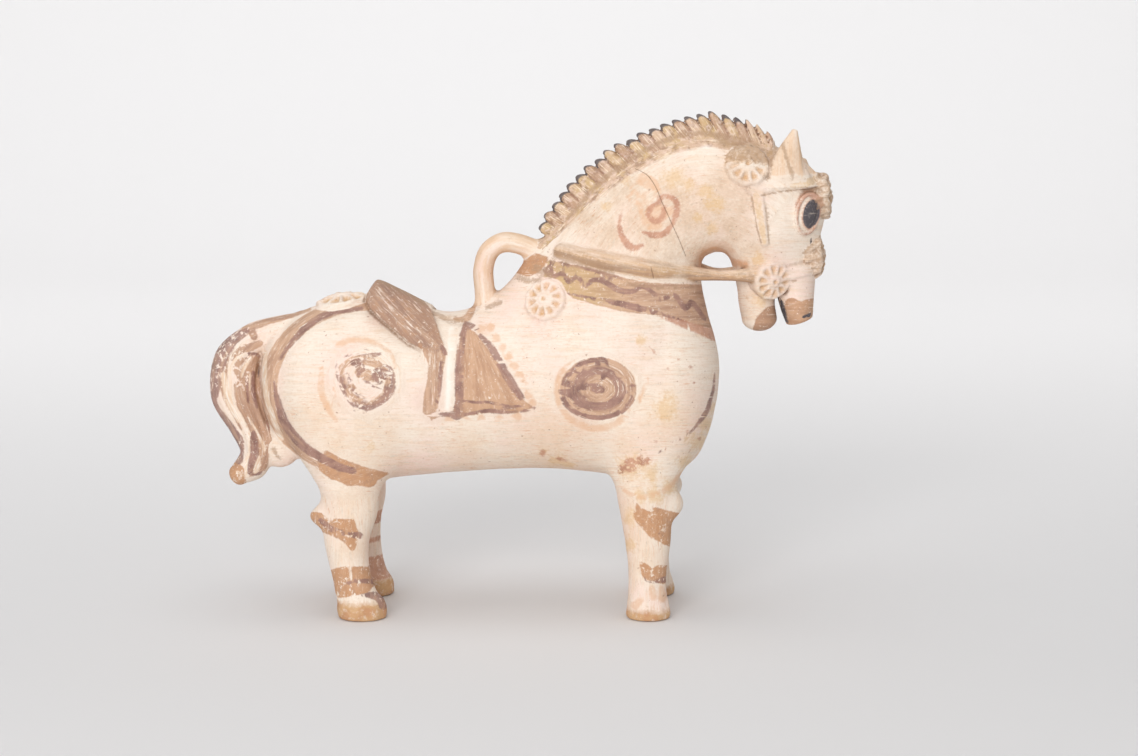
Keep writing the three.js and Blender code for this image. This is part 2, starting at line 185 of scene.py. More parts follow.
# The right flank as the photograph looks on it; the left flank is drawn on the mirrored side.
def sideView(points):
    x, y, z = points.T
    tilt, away = photoView["elevation"], photoView["distance"]
    tx, _, tz = photoView["target"]
    depth = away - np.abs(y) * math.cos(tilt) - (z - tz) * math.sin(tilt)
    rise = (z - tz) * math.cos(tilt) - np.abs(y) * math.sin(tilt)
    return tx + (x - tx) * away / depth, tz + rise * away / depth


def lineDistance(x, z, rows):
    best, along = np.full(len(x), far * 10), np.zeros(len(x))
    rows = np.asarray(rows, float)
    for i in range(len(rows) - 1):
        (ax, az), (bx, bz) = rows[i], rows[i + 1]
        run = (bx - ax) ** 2 + (bz - az) ** 2
        t = np.clip(((x - ax) * (bx - ax) + (z - az) * (bz - az)) / run, 0, 1)
        d = np.hypot(x - ax - t * (bx - ax), z - az - t * (bz - az))
        closer = d < best
        best, along = np.where(closer, d, best), np.where(closer, (i + t) / (len(rows) - 1), along)
    return best, along


def patchDistance(x, z, rows):
    inside = np.zeros(len(x), bool)
    rows = np.asarray(rows, float)
    for (ax, az), (bx, bz) in zip(rows, np.roll(rows, -1, axis=0)):
        if az == bz:
            continue
        crosses = ((az > z) != (bz > z)) & (x < (bx - ax) * (z - az) / (bz - az) + ax)
        inside ^= crosses
    edge = lineDistance(x, z, np.vstack([rows, rows[:1]]))[0]
    return np.where(inside, -edge, edge)


rib = 43.0
body = {
    "trunk": [
        (-137.5, 165.9, -137.5, 101.3, rib * 0.65), (-124.7, 174.5, -124.7, 86.1, rib * 0.89),
        (-107.3, 179.8, -107.3, 76.6, rib * 1.02), (-87.0, 181.6, -87.0, 75.6, rib * 1.05),
        (-63.8, 177.5, -63.8, 77.9, rib * 1.01), (-37.7, 172.0, -37.7, 80.3, rib * 0.98),
        (-11.6, 177.6, -11.6, 82.1, rib * 0.98), (14.5, 185.0, 14.5, 82.6, rib),
        (40.6, 189.2, 40.6, 80.4, rib * 1.05), (63.8, 188.0, 63.8, 77.9, rib * 1.06),
        (82.0, 176.0, 82.0, 78.4, rib * 1.05),
    ],
    "trunkCaps": (12.2, 30.0),
    "neck": [
        (-20.0, 172.0, 98.0, 104.0, rib * 0.62, 0.05), (-4.0, 193.0, 111.5, 142.0, rib * 0.86, 0.12),
        (8.6, 211.4, 107.9, 171.6, rib * 0.84, 0.2), (24.4, 227.3, 104.4, 194.5, rib * 0.71, 0.3),
        (41.8, 244.3, 105.6, 204.4, rib * 0.62, 0.34), (65.0, 262.4, 110.8, 208.0, rib * 0.56, 0.36),
        (94.5, 275.3, 114.3, 208.5, rib * 0.53, 0.3), (124.7, 274.2, 117.2, 208.0, rib * 0.52, 0.2),
        (152.0, 267.1, 120.1, 205.6, rib * 0.52, 0.16), (172.8, 251.3, 121.8, 202.1, rib * 0.51, 0.2),
        (175.7, 232.0, 123.0, 198.0, rib * 0.47, 0.26), (171.7, 213.2, 124.1, 192.7, rib * 0.41, 0.2),
        (169.4, 195.7, 125.9, 185.7, rib * 0.36, 0.1),
    ],
    "neckCaps": (16.0, 3.0),
    "upperLip": [
        (170.0, 201.5, 146.5, 197.0, rib * 0.34), (170.0, 186.9, 148.4, 183.9, rib * 0.32),
        (169.4, 176.3, 151.2, 173.9, rib * 0.32), (169.2, 171.8, 153.8, 166.9, rib * 0.29),
    ],
    "lowerJaw": [
        (148.0, 195.0, 125.3, 195.0, rib * 0.33), (147.0, 181.0, 126.2, 180.0, rib * 0.3),
        (148.6, 170.6, 128.2, 169.6, rib * 0.29),
    ],
    "lipCap": 1.6,
    "jawCap": 7.5,
    "melts": {"neck": 18, "lip": 3, "jaw": 1, "leg": 16, "sole": 2.5, "knob": 7},  # how softly the forms join
}
# Legs: middle along x, height, half depth, half width, share of the spread.
legs = {
    "spread": 59.0,
    "hind": [
        (-97.0, 134.0, 22.0, 15, 0.66), (-97.2, 114.0, 24.0, 17, 0.84), (-99.0, 95.7, 23.4, 16.2, 0.92),
        (-98.2, 84.0, 20.0, 15.6, 0.94), (-97.4, 74.0, 16.8, 15.0, 0.96), (-97.2, 61.2, 15.6, 13.8, 0.98),
        (-99.4, 44.0, 12.6, 12.2, 0.99), (-97.2, 26.8, 11.1, 11, 1), (-94.4, 15.5, 11.9, 11.2, 1),
        (-91.4, 8.5, 14.0, 12.8, 1), (-90.4, -4.0, 14.2, 13, 1),
    ],
    "fore": [
        (76.0, 138.0, 20.0, 15, 0.66), (74.5, 117.0, 22.0, 17, 0.84), (73.5, 98.6, 19.0, 16.5, 0.92),
        (72.3, 75.6, 16.8, 15.2, 0.96), (72.8, 61.2, 14.8, 13.4, 0.98), (73.8, 42.9, 12.8, 12, 0.99),
        (73.5, 26.8, 10.8, 10.6, 1), (73.5, 14.5, 11.0, 10.8, 1), (74.2, 6.0, 12.4, 12.2, 1),
        (74.0, -4.0, 13.0, 12.8, 1),
    ],
    "farForeStep": 4.5,
    "farHindBend": 3.0,  # the far hind shank stands forward
    "hoofLumps": 0.7,
    "hock": (-111.5, 59.4, 8.6, 7.0, 5.6),  # x, z and radii
    "knee": (86.2, 66.5, 7.9, 8.0, 7.4),
}


def legForm(rows, side, step, bend):
    made = []
    for x, z, deep, wide, share in rows:
        middle = x + step * (1 - z / rows[0][1]) + bend * math.sin(math.pi * min(1, max(0, (z - 6) / 62)))
        made.append((middle + deep, z, middle - deep, z, wide, 0, side * share * legs["spread"] / 2))
    return sectionForm(made, 34)


trunkForm = sectionForm(body["trunk"], 60)
neckForm = sectionForm(body["neck"], 61)
lipForm = sectionForm(body["upperLip"], 13)
jawForm = sectionForm(body["lowerJaw"], 11)
legForms = [legForm(legs["hind"], side, 0, legs["farHindBend"] * (side > 0)) for side in (-1, 1)]
legForms += [legForm(legs["fore"], side, legs["farForeStep"] * (side > 0), 0) for side in (-1, 1)]


# The bare body: trunk, neck, head and legs run into each other as smoothed clay does.
def hideField(points):
    z, melts = points[:, 2], body["melts"]
    trunk = loftField(points, trunkForm, body["trunkCaps"])[0]
    made = melt(trunk, loftField(points, neckForm, body["neckCaps"])[0], melts["neck"])
    lip = loftField(points, lipForm, (0, body["lipCap"]))[0]
    jaw = loftField(points, jawForm, (0, body["jawCap"]))[0]
    made = melt(melt(made, lip, melts["lip"]), jaw, melts["jaw"])
    for form in legForms:
        made = melt(made, trim(loftField(points, form)[0], -z, melts["sole"]), melts["leg"])
    for name, lead in (("hock", 6.0), ("knee", legs["farForeStep"] / 3)):
        kx, kz, rx, ry, rz = legs[name]
        for side in (-1, 1):
            centre = np.array([kx + lead * (side > 0), side * legs["spread"] * 0.47, kz])
            made = melt(made, ballField(points, centre, (rx, ry, rz)), melts["knob"])
    waves = unevenness(points, 42, 3) + 0.35 * unevenness(points, 15, 8)
    quiet = np.clip(z / 8, 0, 1)  # soles stay flat
    hoofs = np.clip((15 - z) / 8, 0, 1) * np.clip(z / 3, 0, 1)
    return made + figure["clayWave"] * waves * quiet + legs["hoofLumps"] * unevenness(points, 8, 11) * hoofs


# Where a level line from one side meets the body, and the way the surface looks there.
def onSide(x, z, side):
    near, away = 0.0, 70.0
    for _ in range(26):
        middle = (near + away) / 2
        value = hideField(np.array([[x, side * middle, z]]))[0]
        near, away = (middle, away) if value < 0 else (near, middle)
    point = np.array([x, side * near, z])
    return point, slopeOf(hideField, point[None])[0]


def slopeOf(field, points, reach=0.6):
    steps = np.eye(3) * reach
    slope = np.stack([field(points + s) - field(points - s) for s in steps], 1)
    return slope / np.maximum(np.linalg.norm(slope, axis=1, keepdims=True), 1e-9)


tail = {
    "rows": [
        (-126, 166.5, 7, 7.5), (-141, 162.4, 8.6, 8.5), (-153.5, 157.2, 10.2, 10),
        (-162.9, 145, 14.6, 11.5), (-164.1, 127, 15.8, 12), (-156.4, 108, 12.8, 11), (-153, 94, 10.4, 10),
        (-156.2, 84, 9.6, 9.4), (-164.6, 77.8, 6.2, 6.8),
    ],
    "caps": (2.0, 4.6),
    "web": (-140.0, 94.5, 12.0, 8.0),  # x, z, radius and half width of the web to the haunch
    "webMelt": 8,
    "melt": 3.5,
    "locks": 3.2,  # waves of hair across the tail
    "lockDepth": 0.2,
    "grooves": [  # combed lines between the locks, in the side view
        [(-160.5, 158.6), (-168.5, 150.5), (-172.6, 140), (-172.8, 129), (-169.8, 120), (-165.6, 111.5),
         (-160.6, 102), (-159, 92)],
        [(-152, 157), (-161, 154.6), (-167.6, 147.5), (-168, 138), (-165, 128), (-161.4, 117),
         (-156.6, 107), (-150.6, 92)],
        [(-151, 149.6), (-157.6, 147.6), (-160.6, 140.6), (-159, 130), (-156, 120), (-152, 110), (-148, 102)],
        [(-151.8, 142), (-153.2, 132), (-151, 121), (-147, 110)],
    ],
    "grooveDepth": 0.95,
    "grooveHalf": 1.1,
}
tailForm = rodForm(tail["rows"], 49)

handle = {
    "line": [(-19, 166), (-20.3, 186.9), (-20.9, 198.6), (-17.6, 208.8), (-9.9, 213.9), (0, 213),
             (11.6, 208), (24, 201)],
    "deep": 5.8,
    "wide": 7.5,
    "melt": 5,
}
handleForm = rodForm([(x, z, handle["deep"], handle["wide"]) for x, z in handle["line"]], 43)

rein = {
    "onNeck": [(24, 211, 4.2), (46.4, 206.6, 5.2), (75.4, 202, 5), (97, 198.6, 4.2)],
    "free": [(112, 16.5, 197, 3.1), (124, 17.5, 197, 3.3), (136, 18, 197.4, 5)],
    "sunk": 1.2,
    "farDrop": 2.4,
    "caps": (4.0, 0.0),
    "melt": 1.6,
}


def reinForm(side):
    rows = [(x, z, deep, deep) for x, z, deep in rein["onNeck"]]
    ys = [onSide(x, z, side)[0][1] - side * rein["sunk"] for x, z, _ in rein["onNeck"]]
    for x, y, z, deep in rein["free"]:
        rows.append((x, z - rein["farDrop"] * (side > 0), deep, deep))
        ys.append(side * y)
    return rodForm(rows, 37, ys)


saddle = {
    "rows": [
        (-91.0, 184.0, -91.0, 72.6, rib * 1.05 + 3.0), (-83.2, 192.2, -83.2, 72.9, rib * 1.05 + 3.4),
        (-69.6, 187.0, -69.6, 74.3, rib * 1.02 + 3.3), (-52.2, 178.2, -52.2, 75.9, rib * 0.99 + 3.0),
        (-38, 172.3, -38, 77.3, rib * 0.98 + 2.4),
    ],
    "flap": [
        (-74, 215), (-83.6, 191.6), (-88.9, 183.9), (-89.3, 180.4), (-86.9, 175.3), (-81.4, 169.9),
        (-72.8, 162.8), (-65, 155.8), (-57.2, 151.9), (-54, 146), (-47, 144), (-43.2, 147),
        (-42.9, 151.8), (-45.5, 157.6), (-48.4, 166.4), (-51, 174), (-51, 215),
    ],
    "seat": [(-62, 215), (-52, 174), (-48.4, 171), (-36, 167.2), (-31.3, 168.1), (-24, 181), (-24, 215)],
    "seatRaised": 0.9,
    "thick": 3.8,
    "melt": 1.2,
    "seatMelt": 0.8,
    "fadeFrom": 160.0,  # the slab thins into the flank below
    "fadeTo": 146.0,
}
saddleForm = sectionForm(saddle["rows"], 25)

bridle = {
    "raised": 1.5,
    "melt": 0.7,
    "straps": [
        # browband
        {"line": [(136, 245), (153.7, 248.1), (165.3, 248.4), (190, 257)], "half": (3.9, 2.9)},
        # cheek strap
        {"line": [(137.3, 246), (138.6, 236.5), (140.1, 223.2), (141.8, 213.5)], "half": (3.6, 2.5)},
        # noseband
        {"line": [(148, 193), (156, 195.2), (168.2, 198.7), (186, 203)], "half": (3.9, 3.8)},
    ],
}

rosettes = {
    "petals": 10,
    "foot": 6.0,  # how far one reaches into the body
    "petalDepth": 2.0,
    "button": 0.3,  # share of the radius
    "buttonRise": 0.45,
    "buttonGroove": 0.45,
    "dimpleDepth": 1.2,
    "melt": 0.8,
    "flank": [
        {"place": (15.1, 184.0), "radius": 12.6, "high": 3.6},  # shoulder
        {"place": (129.3, 259.5), "radius": 13.2, "high": 3.8, "eroded": 1.0},  # poll, its upper half eroded
        {"place": (143.8, 194.5), "radius": 11.8, "high": 5.2, "swing": 0.42},  # cheek, turned to the front
    ],
    "middle": [
        {"place": (-102.0, 178.2), "radius": 16.0, "high": 4.8, "lean": 95,  # croup, laid over the back
         "rough": 0.7, "drape": 0.8, "thick": 0.06},
        {"place": (172.6, 240.6), "radius": 13.4, "high": 6.6, "lean": 4, "rough": 1.5},  # brow
        {"place": (169.0, 206.4), "radius": 12.6, "high": 6.6, "lean": 3, "rough": 1.4},  # nose
    ],
}

mane = {
    "locks": 23,
    "foot": [(12, 211), (24, 224), (40, 240), (62, 256), (86, 269), (108, 274), (130, 269), (146, 262)],
    "tips": [(9.4, 221.4), (22.4, 242.4), (35.4, 256.2), (48.8, 266.6), (63.2, 275), (81, 282.8),
             (103.2, 288.4), (118.3, 288.2), (132, 283.6), (146, 274.6)],
    "slant": 0.055,
    "halfWidth": 5.0,
    "root": 0.7,
    "plain": 0.62,  # share of the height below the locks
    "stopsPerLock": 10,
    "ridgeMelt": 1.2,
    "melt": 1.4,
}

ear = {
    "rows": [
        (152.6, 248.6, 13.6, 6.6), (152.9, 258.5, 10.4, 5.8), (153.8, 268.6, 6.4, 4.4),
        (156.0, 278.8, 1.9, 2.2),
    ],
    "y": 12.5,
    "out": 3.5,
    "hollow": (164.6, 266.6),
    "hollowRadii": (4.6, 3.4, 13.0),
    "stumpTop": 260.1,  # the left ear is broken off here
    "stumpShift": 3.5,
    "melt": 5,
}
eye = {
    "place": (163.9, 232.0),
    "tall": 10.5,
    "long": 7.0,
    "bulge": 2.6,
    "rim": 1.1,
    "lean": math.radians(11),
    "pupil": (1.7, 0.2, 6.1, 8.3),  # place on the ball and radii
    "outline": (8.0, 11.4),
}


def evenly(rows, shares):
    line = spline(rows, 400)
    run = np.concatenate([[0], np.cumsum(np.linalg.norm(np.diff(line, axis=0), axis=1))])
    return np.stack([np.interp(np.asarray(shares) * run[-1], run, c) for c in line.T], 1)


lockChance = np.random.default_rng(12).random(mane["locks"])


def maneForm():
    stops = mane["locks"] * mane["stopsPerLock"]
    share = np.arange(stops + 1) / stops
    phase = (share * mane["locks"]) % 1.0
    crown = np.sin(math.pi * phase ** 0.7) ** 0.6  # 0 in the notch, a round knob between
    crown *= (0.72 + 0.4 * lockChance)[np.minimum((share * mane["locks"]).astype(int), mane["locks"] - 1)]
    low = evenly(mane["foot"], np.minimum(1, share + mane["slant"]))
    rise = evenly(mane["tips"], share) - low
    top = low + rise * (0.68 + 0.32 * crown)[:, None]
    low = low - rise * mane["root"]
    wide = mane["halfWidth"] * (0.6 + 0.42 * crown)
    ridge = low + rise * (mane["root"] + mane["plain"])
    knobs = sectionForm(np.column_stack([top, low, wide]), stops + 1)
    plain = np.column_stack([ridge, low, np.full(stops + 1, mane["halfWidth"])])[::5]
    return knobs, sectionForm(plain, stops // 5 + 1)


def earForm(side):
    rows = np.array(ear["rows"])
    rows[:, 0] += ear["stumpShift"] * (side > 0)
    return rodForm(rows, 21, side * (ear["y"] + ear["out"] * np.arange(4) / 3))


def spotFrame(point, out, upHint=(0.0, 0.0, 1.0)):
    out = np.asarray(out, float) / np.linalg.norm(out)
    right = np.cross(np.asarray(upHint), out)
    if np.linalg.norm(right) < 0.2:
        right = np.cross((1.0, 0.0, 0.0), out)
    right /= np.linalg.norm(right)
    return {"point": np.asarray(point, float), "out": out, "right": right, "up": np.cross(out, right)}


def spotPlace(points, spot):
    rel = points - spot["point"]
    return rel @ spot["right"], rel @ spot["up"], rel @ spot["out"]


# Pressed rosette: hollow petals between raised ribs, a rim, and a button with a dimple.
def rosetteRelief(points, spot):
    a, b, g = spotPlace(points, spot)
    if "drape" in spot:
        g = g + (hideField(points) - g) * spot["drape"]
    r = np.hypot(a, b)
    share = r / spot["radius"]
    turn = np.arctan2(b, a) / (2 * math.pi) * rosettes["petals"] + spot["turn"]
    phase = np.abs((turn % 1.0) - 0.5) * 2  # 0 on a petal's middle, 1 on a rib
    gap = (1 - phase) * math.pi * r / rosettes["petals"]  # to the next rib
    button = rosettes["button"]
    hollow = np.clip(gap / 1.7, 0, 1) ** 1.4
    hollow = hollow * np.clip((share - button) / 0.16, 0, 1) * np.clip((0.88 - share) / 0.2, 0, 1)
    dimple = np.clip((0.15 - share) / 0.08, 0, 1)
    lumps = spot.get("rough", 0.3) * unevenness(points, 6, 21)
    gone = spot.get("eroded", 0) * np.clip(b / spot["radius"] * 3.4 + 0.5, 0, 1)
    hollow = hollow * (1 - 0.85 * gone)
    lumps = lumps + gone * (0.75 * unevenness(points, 3.0, 5) - 0.5)
    thick = spot.get("thick", 0.3)
    height = spot["high"] * (thick + (1 - thick) * np.sqrt(np.clip(1 - (share * 0.96) ** 2, 0, 1)))
    height = height - rosettes["petalDepth"] * hollow
    height = height + np.clip((button - share) / 0.1, 0, 1) * rosettes["buttonRise"]
    height = height - rosettes["dimpleDepth"] * dimple
    height = height - rosettes["buttonGroove"] * np.exp(-((share - 0.31) / 0.06) ** 2) + lumps
    edge = spot["radius"] * (0.985 + 0.02 * np.cos(phase * math.pi)) + lumps
    return g, r, height, edge, np.maximum(np.maximum(hollow, dimple), 0.7 * gone)


def rosetteField(points, spot):
    made = np.full(len(points), far)
    near = np.nonzero(np.linalg.norm(points - spot["point"], axis=1) < spot["radius"] + 14)[0]
    if len(near):
        g, r, height, edge, _ = rosetteRelief(points[near], spot)
        made[near] = np.maximum(trim((g - height) * 0.8, r - edge, 1.8), -g - rosettes["foot"])
    return made


print("Horse: placing the applied parts")
reinForms = [reinForm(side) for side in (-1, 1)]
maneLoft, maneRidge = maneForm()
earForms = {side: earForm(side) for side in (-1, 1)}
rosetteSpots, eyeSpots = [], []
for k, r in enumerate(rosettes["flank"]):
    for side in (-1, 1):
        point, out = onSide(*r["place"], side)
        out = out + np.array([r.get("swing", 0.0), 0, 0])
        rosetteSpots.append({**spotFrame(point, out), **r, "turn": 0.37 * k + 0.2 * (side > 0)})
for k, r in enumerate(rosettes["middle"]):
    lean = math.radians(r["lean"])
    point = (r["place"][0], 0.0, r["place"][1])
    rosetteSpots.append({**spotFrame(point, (math.cos(lean), 0, math.sin(lean))), **r, "turn": 0.21 * k})
for side in (-1, 1):
    point, out = onSide(*eye["place"], side)
    eyeSpots.append({**spotFrame(point, out), "turn": -side})


# Across, along and out of the almond of an eye, which leans to the front.
def eyePlace(points, spot):
    a, b, g = spotPlace(points, spot)
    lean = eye["lean"] * spot["turn"]
    return a * math.cos(lean) - b * math.sin(lean), a * math.sin(lean) + b * math.cos(lean), g


def eyeField(points, spot):
    a, b, g = eyePlace(points, spot)
    ball = oval(a, b, eye["long"], eye["tall"], g + 1.0, eye["bulge"] + 1.0)
    ringWay = oval(a, b, eye["long"] + 0.9, eye["tall"] + 0.9)
    lid = np.hypot(ringWay, (g - 0.4) * 0.9) - eye["rim"]
    return ball, lid


# The whole figure, with all that was pressed onto the body.
def figureField(points):
    x, y, z = points.T
    sideX, sideZ = sideView(points)
    hide = hideField(points)
    made = hide
    # saddle pad and seat
    fade = np.clip((saddle["fadeFrom"] - sideZ) / (saddle["fadeFrom"] - saddle["fadeTo"]), 0, 1)
    pad = loftField(points, saddleForm)[0] + saddle["thick"] * fade
    pad = trim(pad, patchDistance(sideX, sideZ, saddle["flap"]), 1.0)
    made = melt(made, pad, saddle["melt"])
    back = (z > 150) & (x > -70) & (x < -15)
    seat = np.full(len(points), far)
    seatEdge = patchDistance(sideX[back], sideZ[back], saddle["seat"])
    seat[back] = trim(hide[back] - saddle["seatRaised"], seatEdge, 1.5)
    made = melt(made, seat, saddle["seatMelt"])
    # bridle
    face = np.nonzero((x > 128) & (z > 180))[0]
    for strap in bridle["straps"]:
        d, along = lineDistance(sideX[face], sideZ[face], strap["line"])
        half = strap["half"][0] + (strap["half"][1] - strap["half"][0]) * along
        raised = bridle["raised"] * (1 - 0.25 * np.clip(1 - d / half, 0, 1))
        band = np.full(len(points), far)
        band[face] = trim(hide[face] - raised, d - half, 1.6)
        made = melt(made, band, bridle["melt"])
    # eyes
    for spot in eyeSpots:
        near = np.nonzero(np.linalg.norm(points - spot["point"], axis=1) < 26)[0]
        ball, lid = eyeField(points[near], spot)
        made[near] = melt(melt(made[near], ball, 0.6), lid, 1.0)
    # ears
    for side, form in earForms.items():
        shape = loftField(points, form, (1.0, 1.2))[0]
        near = np.nonzero(shape < 20)[0]
        centre = np.array([ear["hollow"][0], side * (ear["y"] + ear["out"] * 1.2), ear["hollow"][1]])
        hollow = ballField(points[near], centre, ear["hollowRadii"])
        cut = trim(shape[near], -hollow, 1.6)
        if side > 0:
            top = z[near] - ear["stumpTop"] - 0.12 * (x[near] - ear["rows"][0][0])
            top = top - 0.3 * (y[near] - ear["y"])
            cut = trim(cut, top + 0.8 * unevenness(points[near], 4, 5), 0.8)
        made[near] = melt(made[near], cut, ear["melt"])
    # tail
    shape, along, across = loftField(points, tailForm, tail["caps"])
    waves = np.cos(tail["locks"] * math.pi * (across + 0.25 * np.sin(along * 7)))
    waves = tail["lockDepth"] * (1 - waves) * np.clip(along * 4 - 0.5, 0, 1)
    shape = shape + waves * np.clip((0.96 - along) * 8, 0, 1)
    combed = np.nonzero(np.abs(shape) < 5)[0]
    for rows in tail["grooves"]:
        d = lineDistance(sideX[combed], sideZ[combed], evenly(rows, np.linspace(0, 1, 20)))[0]
        shape[combed] += tail["grooveDepth"] * np.exp(-(d / tail["grooveHalf"]) ** 2)
    wx, wz, wr, wy = tail["web"]
    made = melt(made, ballField(points, np.array([wx, 0, wz]), (wr, wy, wr)), tail["webMelt"])
    made = melt(made, shape, tail["melt"])
    # handle and reins
    made = melt(made, loftField(points, handleForm)[0], handle["melt"])
    for form in reinForms:
        made = melt(made, loftField(points, form, rein["caps"])[0], rein["melt"])
    # mane
    hair = melt(loftField(points, maneLoft)[0], loftField(points, maneRidge)[0], mane["ridgeMelt"])
    made = melt(made, hair, mane["melt"])
    for spot in rosetteSpots:
        made = melt(made, rosetteField(points, spot), rosettes["melt"])
    return trim(made, -z, 0.6)


def inChunks(field, points, size=250000):
    return np.concatenate([field(points[i:i + size]) for i in range(0, len(points), size)])


# Net of quads over the surface of a field: rough steps find the surface, fine steps draw it.
def netOfField(field, lo, hi):
    step, ratio = figure["gridStep"], figure["roughCells"]
    rough = step * ratio
    counts = [int(math.ceil((hi[k] - lo[k]) / rough)) + 1 for k in range(3)]
    axes = [lo[k] + rough * np.arange(counts[k]) for k in range(3)]
    grid = np.stack(np.meshgrid(*axes, indexing="ij"), -1).reshape(-1, 3)
    coarse = inChunks(field, grid).reshape(counts)
    close = np.abs(coarse) < rough * 1.75
    corners = [close[a:counts[0] - 1 + a, b:counts[1] - 1 + b, c:counts[2] - 1 + c]
               for a, b, c in np.ndindex(2, 2, 2)]
    cells = np.logical_or.reduce(corners)
    fineCounts = [(n - 1) * ratio + 1 for n in counts]
    mask = np.zeros(fineCounts, bool)
    block = cells.repeat(ratio, 0).repeat(ratio, 1).repeat(ratio, 2)
    mask[:-1, :-1, :-1] = block
    for axis in range(3):
        back = [slice(None)] * 3
        front = [slice(None)] * 3
        back[axis], front[axis] = slice(None, -1), slice(1, None)
        mask[tuple(front)] |= mask[tuple(back)].copy()
    nearest = [np.minimum((np.arange(fine) + ratio // 2) // ratio, n - 1)
               for fine, n in zip(fineCounts, counts)]
    values = np.where(coarse < 0, -far, far).astype(np.float32)[np.ix_(*nearest)]
    spots = np.argwhere(mask)
    values[mask] = inChunks(field, np.asarray(lo) + spots * step)
    print("Horse: field sampled at", len(spots), "points")

    inner = values < 0
    size = [n - 1 for n in fineCounts]
    total = np.zeros(size, np.int8)
    for a, b, c in np.ndindex(2, 2, 2):
        total += inner[a:size[0] + a, b:size[1] + b, c:size[2] + c]
    active = np.argwhere((total > 0) & (total < 8))
    index = np.full(size, -1, np.int32)
    index[tuple(active.T)] = np.arange(len(active))
    summed, hits = np.zeros((len(active), 3)), np.zeros(len(active))
    for axis in range(3):
        others = [k for k in range(3) if k != axis]
        for a, b in np.ndindex(2, 2):
            start = active.copy()
            start[:, others[0]] += a
            start[:, others[1]] += b
            end = start.copy()
            end[:, axis] += 1
            v0, v1 = values[tuple(start.T)], values[tuple(end.T)]
            cross = (v0 < 0) != (v1 < 0)
            t = v0[cross] / (v0[cross] - v1[cross])
            place = start[cross].astype(float)
            place[:, axis] += t
            summed[cross] += place
            hits[cross] += 1
    points = np.asarray(lo) + summed / hits[:, None] * step

    quads = []
    for axis in range(3):
        u, v = (axis + 1) % 3, (axis + 2) % 3
        low = [slice(1, -1)] * 3
        low[axis] = slice(None, -1)
        high = list(low)
        high[axis] = slice(1, None)
        first, second = inner[tuple(low)], inner[tuple(high)]
        edges = np.argwhere(first != second)
        outward = first[tuple(edges.T)]
        edges[:, u] += 1
        edges[:, v] += 1
        ring = []
        for du, dv in ((-1, -1), (0, -1), (0, 0), (-1, 0)):
            cell = edges.copy()
            cell[:, u] += du
            cell[:, v] += dv
            ring.append(index[tuple(cell.T)])
        ring = np.stack(ring, 1)
        ring[~outward] = ring[~outward][:, ::-1]
        quads.append(ring)
    return points, np.vstack(quads)


print("Horse: shaping the clay")
low = [cadBox[0][k] / mm - figure["room"] for k in range(3)]
high = [cadBox[1][k] / mm + figure["room"] for k in range(3)]
netPoints, netQuads = netOfField(figureField, low, high)
for _ in range(2):  # settle the net onto the surface
    offset = inChunks(figureField, netPoints)
    slope = inChunks(lambda points: slopeOf(figureField, points, 0.5), netPoints, 120000)
    netPoints = netPoints - slope * np.clip(offset, -0.6, 0.6)[:, None] * 0.9
netPoints[:, 2] = np.maximum(netPoints[:, 2], 0)
print("Horse: net of", len(netPoints), "points and", len(netQuads), "quads")

mesh = bpy.data.meshes.new("horse")
mesh.from_pydata((netPoints * mm).tolist(), [], netQuads.tolist())
horse = bpy.data.objects.new("horse", mesh)
bpy.context.scene.collection.objects.link(horse)
thin = horse.modifiers.new("thin", "DECIMATE")
thin.ratio = min(1.0, figure["triangles"] / (2 * len(netQuads)))
bpy.context.view_layer.update()
settled = bpy.data.meshes.new_from_object(horse.evaluated_get(bpy.context.evaluated_depsgraph_get()))
horse.modifiers.clear()
horse.data = settled
mesh = settled
mesh.polygons.foreach_set("use_smooth", np.ones(len(mesh.polygons), bool))
print("Horse: mesh of", len(mesh.vertices), "vertices and", len(mesh.polygons), "faces")

